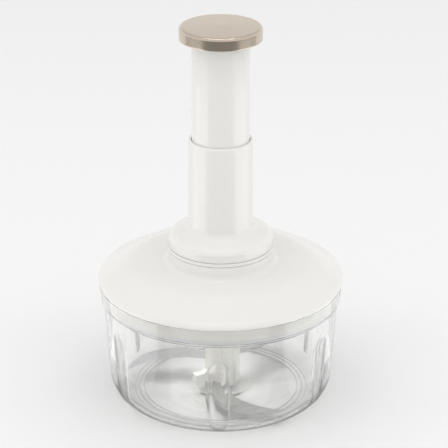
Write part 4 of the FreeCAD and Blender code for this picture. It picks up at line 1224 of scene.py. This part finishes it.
@dataclass
class Lid(Assembly):
    """The white lid with its collar and the sleeve that guides the plunger."""

    rim_radius: float = 76.0
    rim_height: float = 77.52
    edge_height: float = 80.75
    edge_rounding: float = 4.0
    crown_radius: float = 59.0
    deck_height: float = 89.4
    crown_fullness: float = 0.45
    crown_columns: int = 256
    neck_radius: float = 32.8
    neck_top: float = 98.4
    neck_fillet: float = 4.0
    wall: float = 2.2
    skirt_bottom: float = 69.6
    skirt_radius: float = 72.6
    skirt_top_radius: float = 73.65
    skirt_bore: float = 70.8
    seam: float = 0.3
    seam_gap: float = 0.25
    collar_top: float = 101.0
    collar_wall: float = 2.1
    sleeve_bore: float = 17.9
    sleeve_top: float = 169.8
    sleeve_top_radius: float = 19.6
    neck_height: float = 112.0
    sleeve_neck_radius: float = 20.2
    sleeve_neck_fillet: float = 4.5
    shoulder_height: float = 108.4
    shoulder_radius: float = 32.2
    shoulder_rounding: float = 4.5
    spigot_bottom: float = 96.0
    spigot_gap: float = 0.05
    guide_bottom: float = 97.4
    ramp_angles: tuple[float, ...] = (-48.0, 72.0, 192.0)
    ramp_sweep: float = 18.0
    ramp_low: float = 70.8
    ramp_high: float = 76.2
    ramp_stations: int = 33
    # (outwards, upwards) corners of a ramp's section, from the skirt's face.
    ramp_section: ClassVar[np.ndarray] = np.array(((-0.4, -0.45), (0.25, -0.45), (0.25, 0.45), (-0.4, 0.45)))

    def ramp_shell(self, angle: float) -> Shell:
        """One bayonet ramp on the skirt: x = r cos a, y = r sin a, z rising evenly with a.

        Args:
            angle: The angle of its middle round the lid, in degrees.

        Returns:
            The ramp as a bar whose section follows the skirt's leaning face.
        """
        share = np.linspace(0.0, 1.0, self.ramp_stations)
        turn = np.radians(angle + self.ramp_sweep * (share - 0.5))[:, None]
        height = self.ramp_low + (self.ramp_high - self.ramp_low) * share
        lean = (self.skirt_top_radius - self.skirt_radius) / (self.rim_height - self.skirt_bottom)
        face = self.skirt_radius + lean * (height - self.skirt_bottom)
        radii = face[:, None] + self.ramp_section[:, 0]
        heights = height[:, None] + self.ramp_section[:, 1]
        return grid_shell(round_axis(radii, turn, heights), False)

    def crown_profile(self) -> np.ndarray:
        """The section of the lid's shell: neck, deck, falling crown, edge, rim and skirt.

        The crown falls evenly from the deck's end to the edge. Its rounding is the given share of the
        largest that fits between the two, on the outside and, a wall further in, on the inside.

        Returns:
            The section's points.
        """
        span = self.rim_radius - self.crown_radius
        slope = (self.deck_height - self.edge_height) / span
        slant = math.sqrt(slope**2 + 1.0)
        half_turn = (slant - 1.0) / slope
        edge_turn = slant - slope
        inner_edge = self.edge_height + (self.rim_radius - self.skirt_bore) * slope - self.wall * slant
        inner_break = self.crown_radius - self.wall * half_turn
        crown = (span * slant - self.edge_rounding * edge_turn) * self.crown_fullness / half_turn
        inner_crown = ((self.skirt_bore - inner_break) * slant - edge_turn) * self.crown_fullness / half_turn
        underside = self.deck_height - self.wall
        neck_bore = self.neck_radius - self.wall
        corners = [
            (neck_bore, self.neck_top, 0.2),
            (self.neck_radius, self.neck_top, self.seam),
            (self.neck_radius, self.deck_height, self.neck_fillet),
            (self.crown_radius, self.deck_height, crown),
            (self.rim_radius, self.edge_height, self.edge_rounding),
            (self.rim_radius, self.rim_height, self.seam),
            (self.skirt_top_radius, self.rim_height, 0.25),
            (self.skirt_radius, self.skirt_bottom, 0.4),
            (self.skirt_bore, self.skirt_bottom, 0.3),
            (self.skirt_bore, inner_edge, 1.0),
            (inner_break, underside, inner_crown),
            (neck_bore, underside, 0.3),
        ]
        return rounded_profile(corners, True, step=4.0)

    def make_shell(self) -> None:
        """Build the lid's shell with the ramps on its skirt."""
        crown = turned_shell(self.crown_profile(), True, self.crown_columns)
        ramps = [self.ramp_shell(angle) for angle in self.ramp_angles]
        self.add_piece("lid_crown", joined([crown, *ramps]), Body.LID, Slot.WHITE, "lid_shell")

    def make_collar(self) -> None:
        """Build the thin ring between the lid's neck and the sleeve."""
        inner = self.neck_radius - self.collar_wall
        low, high = self.neck_top + self.seam_gap, self.collar_top - self.seam_gap
        corners = [
            (inner, low, 0.1),
            (self.neck_radius, low, self.seam),
            (self.neck_radius, high, self.seam),
            (inner, high, 0.1),
        ]
        shell = turned_shell(rounded_profile(corners, True), True)
        self.add_piece("collar_band", shell, Body.LID, Slot.WHITE, "collar_ring")

    def make_sleeve(self) -> None:
        """Build the sleeve: guide tube, sloping shoulder, and the spigot that sits in the neck."""
        spigot = self.neck_radius - self.wall - self.spigot_gap
        inner = spigot - self.wall
        corners = [
            (self.sleeve_bore, self.guide_bottom, 0.2),
            (self.sleeve_neck_radius, self.guide_bottom, 0.2),
            (self.sleeve_neck_radius, self.neck_height - self.wall, 0.3),
            (inner, self.shoulder_height - self.wall, 0.3),
            (inner, self.spigot_bottom, 0.2),
            (spigot, self.spigot_bottom, 0.2),
            (spigot, self.collar_top, 0.1),
            (self.shoulder_radius, self.collar_top, self.seam),
            (self.shoulder_radius, self.shoulder_height, self.shoulder_rounding),
            (self.sleeve_neck_radius, self.neck_height, self.sleeve_neck_fillet),
            (self.sleeve_top_radius, self.sleeve_top, 0.8),
            (self.sleeve_bore, self.sleeve_top, 0.3),
        ]
        shell = turned_shell(rounded_profile(corners, True, step=5.0), True)
        self.add_piece("sleeve_tube", shell, Body.LID, Slot.WHITE, "handle_sleeve")

    def build(self) -> None:
        """Build every piece of the lid."""
        self.make_shell()
        self.make_collar()
        self.make_sleeve()


# ---------------------------------------------------------------------------------------------
# Plunger
# ---------------------------------------------------------------------------------------------


@dataclass
class Plunger(Assembly):
    """The tube that is pushed down, its cap, and the spring that lifts it."""

    tube_radius: float = 17.6
    tube_bore: float = 15.8
    tube_bottom: float = 146.7
    tube_top: float = 238.45
    cap_radius: float = 24.9
    cap_bottom: float = 232.6
    cap_top: float = 240.7
    cap_crown: float = 0.4
    cap_rounding: float = 2.0
    cap_wall: float = 2.2
    boss_radius: float = 4.5
    boss_bottom: float = 234.9
    screw_radius: float = 1.4
    spring_low: float = 87.0
    spring_high: float = 157.0
    spring_radius: float = 13.1
    spring_wire: float = 0.7
    spring_turns: int = 9
    spring_keep: float = 0.2
    # Steps in each turn of the coil and round its wire, and the turns at either end that lie flat.
    turn_steps: int = 36
    wire_steps: int = 10
    flat_turns: float = 0.75

    def make_tube(self) -> None:
        """Build the inner tube."""
        corners = [
            (self.tube_bore, self.tube_bottom, 0.3),
            (self.tube_radius, self.tube_bottom, 0.5),
            (self.tube_radius, self.tube_top, 0.3),
            (self.tube_bore, self.tube_top, 0.3),
        ]
        shell = turned_shell(rounded_profile(corners, True), True)
        self.add_piece("plunger_barrel", shell, Body.PLUNGER, Slot.WHITE, "plunger_tube")

    def make_cap(self) -> None:
        """Build the push cap: crowned top, rounded edge, short skirt and the screw's boss."""
        underside = self.cap_top - self.cap_wall
        inner = self.cap_radius - self.cap_wall
        hole_top = self.cap_top - self.cap_wall / 2.0
        corners = [
            (0.0, hole_top, 0.0),
            (self.screw_radius, hole_top, 0.1),
            (self.screw_radius, self.boss_bottom, 0.2),
            (self.boss_radius, self.boss_bottom, 0.3),
            (self.boss_radius, underside, 0.3),
            (inner, underside, 0.8),
            (inner, self.cap_bottom, 0.3),
            (self.cap_radius, self.cap_bottom, 0.6),
            (self.cap_radius, self.cap_top, self.cap_rounding),
            (0.0, self.cap_top + self.cap_crown, 0.0),
        ]
        shell = turned_shell(rounded_profile(corners, False, step=6.0), False)
        self.add_piece("cap_pearl", shell, Body.PLUNGER, Slot.TAUPE, "push_cap")

    def coil_shell(self) -> Shell:
        """The spring's wire.

        Its middle line climbs as x = r cos t, y = r sin t, z rising evenly with t, and lies flat for
        part of a turn at either end. Round it the wire is a circle across the line's direction.

        Returns:
            The wire's shell.
        """
        t = np.linspace(0.0, TURN * self.spring_turns, self.turn_steps * self.spring_turns + 1)
        share = t / t[-1]
        flat = self.flat_turns / self.spring_turns
        climb = np.clip((share - flat) / (1.0 - 2.0 * flat), 0.0, 1.0)
        low, high = self.spring_low + self.spring_wire, self.spring_high - self.spring_wire
        line = round_axis(self.spring_radius, t, low + (high - low) * climb)
        along = np.gradient(line, axis=0)
        along /= np.linalg.norm(along, axis=1)[:, None]
        outwards = round_axis(1.0, t, 0.0)
        across = np.cross(along, outwards)
        wire = (np.arange(self.wire_steps) * TURN / self.wire_steps)[:, None]
        ring = outwards[:, None, :] * np.cos(wire) + across[:, None, :] * np.sin(wire)
        return grid_shell(line[:, None, :] + self.spring_wire * ring, False)

    def make_spring(self) -> None:
        """Build the spring on a mesh of its own."""
        shell = self.coil_shell()
        piece = self.add_piece("lifting_spring", shell, Body.LID, Slot.SPRING, "return_spring")
        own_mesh(piece)

    def build(self) -> None:
        """Build every piece of the plunger."""
        self.make_tube()
        self.make_cap()
        self.make_spring()


# ---------------------------------------------------------------------------------------------
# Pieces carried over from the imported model
# ---------------------------------------------------------------------------------------------


@dataclass
class Inside(Assembly):
    """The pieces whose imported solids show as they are, each with its own finish."""

    nodes: dict[str, bpy.types.Object]
    slots: ClassVar[dict[Slot, tuple[str, ...]]] = {
        Slot.STEEL: (
            "floor_pin", "lid_screws", "sleeve_screws", "stop_washer", "rod_screw", "spiral_rod",
            "nut_pins", "cap_screw", "thrust_washer",
        ),
        Slot.BRASS: ("hub_bush", "rod_bush"),
        Slot.SPRING: ("clutch_spring",),
        Slot.SILICONE: ("lid_seal", "shaft_seal"),
        Slot.WHITE: ("lid_underplate", "drive_housing", "cap_insert", "bearing_plate"),
        Slot.IVORY: ("output_coupling", "clutch_driver", "drive_nut"),
    }

    def build(self) -> None:
        """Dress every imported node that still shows."""
        for slot, names in self.slots.items():
            for name in names:
                self.finishes.dress(self.nodes[name], slot)
                LOG.info("%s: packed solid in %s", name, slot.value)


# ---------------------------------------------------------------------------------------------
# Studio
# ---------------------------------------------------------------------------------------------


def lay_sheet(
    name: str, radii: Sequence[float], angles: np.ndarray, level: float, whole: bool
) -> bpy.types.Object:
    """Lay a flat sheet that belongs to the stage: x = r cos a, y = r sin a, at one height.

    Args:
        name: The sheet's name.
        radii: The radii of its rows, in metres.
        angles: The angles of its columns, in radians.
        level: Its height in metres.
        whole: True where the last column meets the first, and the middle is closed.

    Returns:
        The sheet.
    """
    grid = round_axis(np.array(radii)[:, None], angles, level)
    numbers = np.arange(grid[..., 0].size).reshape(grid.shape[:2])
    below, above = numbers[:-1], numbers[1:]
    quads = np.stack((below, above, np.roll(above, -1, 1), np.roll(below, -1, 1)), axis=-1)
    faces = (quads if whole else quads[:, :-1]).reshape(-1, 4).tolist()
    faces += [numbers[0].tolist()] if whole else []
    mesh = bpy.data.meshes.new(name)
    mesh.from_pydata(grid.reshape(-1, 3).tolist(), [], faces)
    sheet = bpy.data.objects.new(name, mesh)
    bpy.context.scene.collection.objects.link(sheet)
    return sheet


def hang_light(data: bpy.types.AreaLight, place: Place, mirrored: bool) -> bpy.types.Object:
    """Hang a light in the scene, unseen by the camera itself.

    Args:
        data: The light.
        place: Where it hangs, in metres.
        mirrored: True where gloss shows it.

    Returns:
        The light's object.
    """
    light = bpy.data.objects.new(data.name, data)
    light.location = place
    light.visible_camera = False
    light.visible_glossy = mirrored
    bpy.context.scene.collection.objects.link(light)
    return light


@dataclass(frozen=True)
class Lamp:
    """A soft box: where it stands, what it faces, its width, height and power, and if gloss shows it."""

    name: str
    place: Place
    target: Place
    width: float
    height: float
    power: float
    mirrored: bool = False

    def build(self) -> None:
        """Hang the lamp and point it at its target."""
        data = bpy.data.lights.new(self.name, "AREA")
        data.shape = "RECTANGLE"
        data.size = self.width
        data.size_y = self.height
        data.energy = self.power
        way = Vector(self.target) - Vector(self.place)
        lamp = hang_light(data, self.place, self.mirrored)
        lamp.rotation_euler = way.to_track_quat("-Z", "Y").to_euler()


@dataclass(frozen=True)
class Glow:
    """A faint disc of light that hangs under the lid and shines down, for what the white lid lets in."""

    power: float = 0.0215
    size: float = 0.1
    spread: float = 60.0
    height: float = 0.0675

    def build(self) -> None:
        """Hang the disc. Nothing throws a shadow in its light."""
        data = bpy.data.lights.new("lid_glow", "AREA")
        data.shape = "DISK"
        data.size = self.size
        data.spread = math.radians(self.spread)
        data.use_shadow = False
        data.energy = self.power
        hang_light(data, (0.0, 0.0, self.height), False)


@dataclass(frozen=True)
class Card:
    """A glowing sheet flat on the floor, seen only in reflections: its sector and its brightness."""

    name: str
    first_angle: float
    last_angle: float
    inner: float
    outer: float
    brightness: float
    columns: int = 33
    height: float = 0.0004

    def build(self) -> None:
        """Lay the card, hide it from all but gloss, and light it."""
        angles = np.radians(np.linspace(self.first_angle, self.last_angle, self.columns))
        card = lay_sheet(self.name, (self.inner, self.outer), angles, self.height, False)
        card.visible_camera = False
        card.visible_diffuse = False
        card.visible_shadow = False
        card.visible_transmission = False
        board = Board(self.name)
        board.surface(
            {
                "Base Color": (0.0, 0.0, 0.0),
                "Specular IOR Level": 0.0,
                "Emission Color": (1.0, 1.0, 1.0),
                "Emission Strength": self.brightness,
            }
        )
        dress(card, board.material)


@dataclass
class Studio:
    """A pale floor, soft light from above and both sides, and the camera."""

    floor_radii: tuple[float, ...] = (0.0001, 0.4, 1.2, 3.0, 9.0)
    floor_columns: int = 96
    floor_level: float = -0.00004
    floor_colour: Colour = (0.93, 0.93, 0.93)
    floor_roughness: float = 0.9
    floor_specular: float = 0.1
    surround: Colour = (1.0, 1.0, 1.0)
    # Height of a direction, as its sine, up to which the surround glows, and past which it dims.
    horizon_top: float = 0.26
    ceiling_bottom: float = 0.36
    horizon_level: float = 1.0
    ceiling_level: float = 0.7
    ambient: float = 0.85
    camera_place: Place = (0.0, -1.0563, 0.5739)
    camera_pitch: float = 23.56
    camera_near: float = 0.05
    sensor: float = 36.0
    focal: float = 150.27
    shift: float = 0.00723
    cards: tuple[Card, ...] = (
        Card("front_card", -141.0, -39.0, 0.1, 1.5, 0.1),
        Card("left_card", 160.0, 219.0, 0.1, 0.62, 1.8),
        Card("right_card", -39.0, 20.0, 0.1, 0.62, 1.8),
        Card("left_far_card", 160.0, 219.0, 0.62, 1.5, 0.25),
        Card("right_far_card", -39.0, 20.0, 0.62, 1.5, 0.25),
    )
    glow: Glow = Glow()
    lamps: tuple[Lamp, ...] = (
        Lamp("strip", (0.0, -0.4, 1.35), (0.0, 0.0, 0.1), 1.35, 0.12, 2.2, True),
        Lamp("left_box", (-1.5, -0.15, 0.75), (0.0, 0.0, 0.12), 0.9, 1.3, 2.7),
        Lamp("right_box", (1.5, -0.15, 0.75), (0.0, 0.0, 0.12), 0.9, 1.3, 2.4),
    )

    def make_floor(self) -> None:
        """Lay the floor as a wide disc."""
        angles = np.arange(self.floor_columns) * TURN / self.floor_columns
        floor = lay_sheet("floor", self.floor_radii, angles, self.floor_level, True)
        board = Board("pale_floor")
        board.surface(
            {
                "Base Color": self.floor_colour,
                "Roughness": self.floor_roughness,
                "Specular IOR Level": self.floor_specular,
            }
        )
        dress(floor, board.material)

    def make_world(self) -> None:
        """Surround the scene: pale where it is seen, reflected or seen through, weaker as light."""
        world = bpy.data.worlds.new("surround")
        bpy.context.scene.world = world
        world.use_nodes = True
        tree = Tree(world.node_tree)
        output = tree.add("ShaderNodeOutputWorld")
        split = tree.add("ShaderNodeSeparateXYZ")
        tree.link(tree.add("ShaderNodeTexCoord").outputs["Generated"], split.inputs[0])
        limits = (self.horizon_top, self.ceiling_bottom, self.horizon_level, self.ceiling_level)
        seen = tree.add("ShaderNodeBackground", strength=tree.ranged(split.outputs["Z"], *limits))
        tree.feed(seen.inputs["Color"], self.surround)
        light = tree.add("ShaderNodeBackground", strength=self.ambient)
        tree.feed(light.inputs["Color"], (1.0, 1.0, 1.0))
        rays = tree.add("ShaderNodeLightPath").outputs
        shown = tree.reckon("MAXIMUM", rays["Is Camera Ray"], rays["Is Glossy Ray"])
        shown = tree.reckon("MAXIMUM", shown, rays["Is Transmission Ray"])
        mix = tree.add("ShaderNodeMixShader")
        for socket, part in zip(mix.inputs, (shown, light.outputs[0], seen.outputs[0])):
            tree.link(part, socket)
        tree.link(mix.outputs[0], output.inputs["Surface"])

    def make_camera(self) -> None:
        """Stand the camera in front, looking down at the chopper."""
        data = bpy.data.cameras.new("camera")
        data.lens = self.focal
        data.sensor_width = self.sensor
        data.shift_x = self.shift
        data.clip_start = self.camera_near
        camera = bpy.data.objects.new("camera", data)
        camera.location = self.camera_place
        camera.rotation_euler = (math.radians(90.0 - self.camera_pitch), 0.0, 0.0)
        bpy.context.scene.collection.objects.link(camera)
        bpy.context.scene.camera = camera

    def build(self) -> None:
        """Set up the whole studio."""
        self.make_floor()
        for card in self.cards:
            card.build()
        self.glow.build()
        self.make_world()
        for lamp in self.lamps:
            lamp.build()
        self.make_camera()
        bpy.context.scene.view_settings.view_transform = "Standard"


def main() -> None:
    """Load the frame, build every sub-assembly in order, and set up the studio."""
    logging.basicConfig(level=logging.INFO, format="%(name)s: %(message)s")
    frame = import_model()
    finishes = Finishes()
    Bowl(finishes).build()
    BladeSet(finishes).build()
    Lid(finishes).build()
    Plunger(finishes).build()
    Inside(finishes, frame["nodes"]).build()
    Studio().build()


if __name__ == "__main__":
    main()
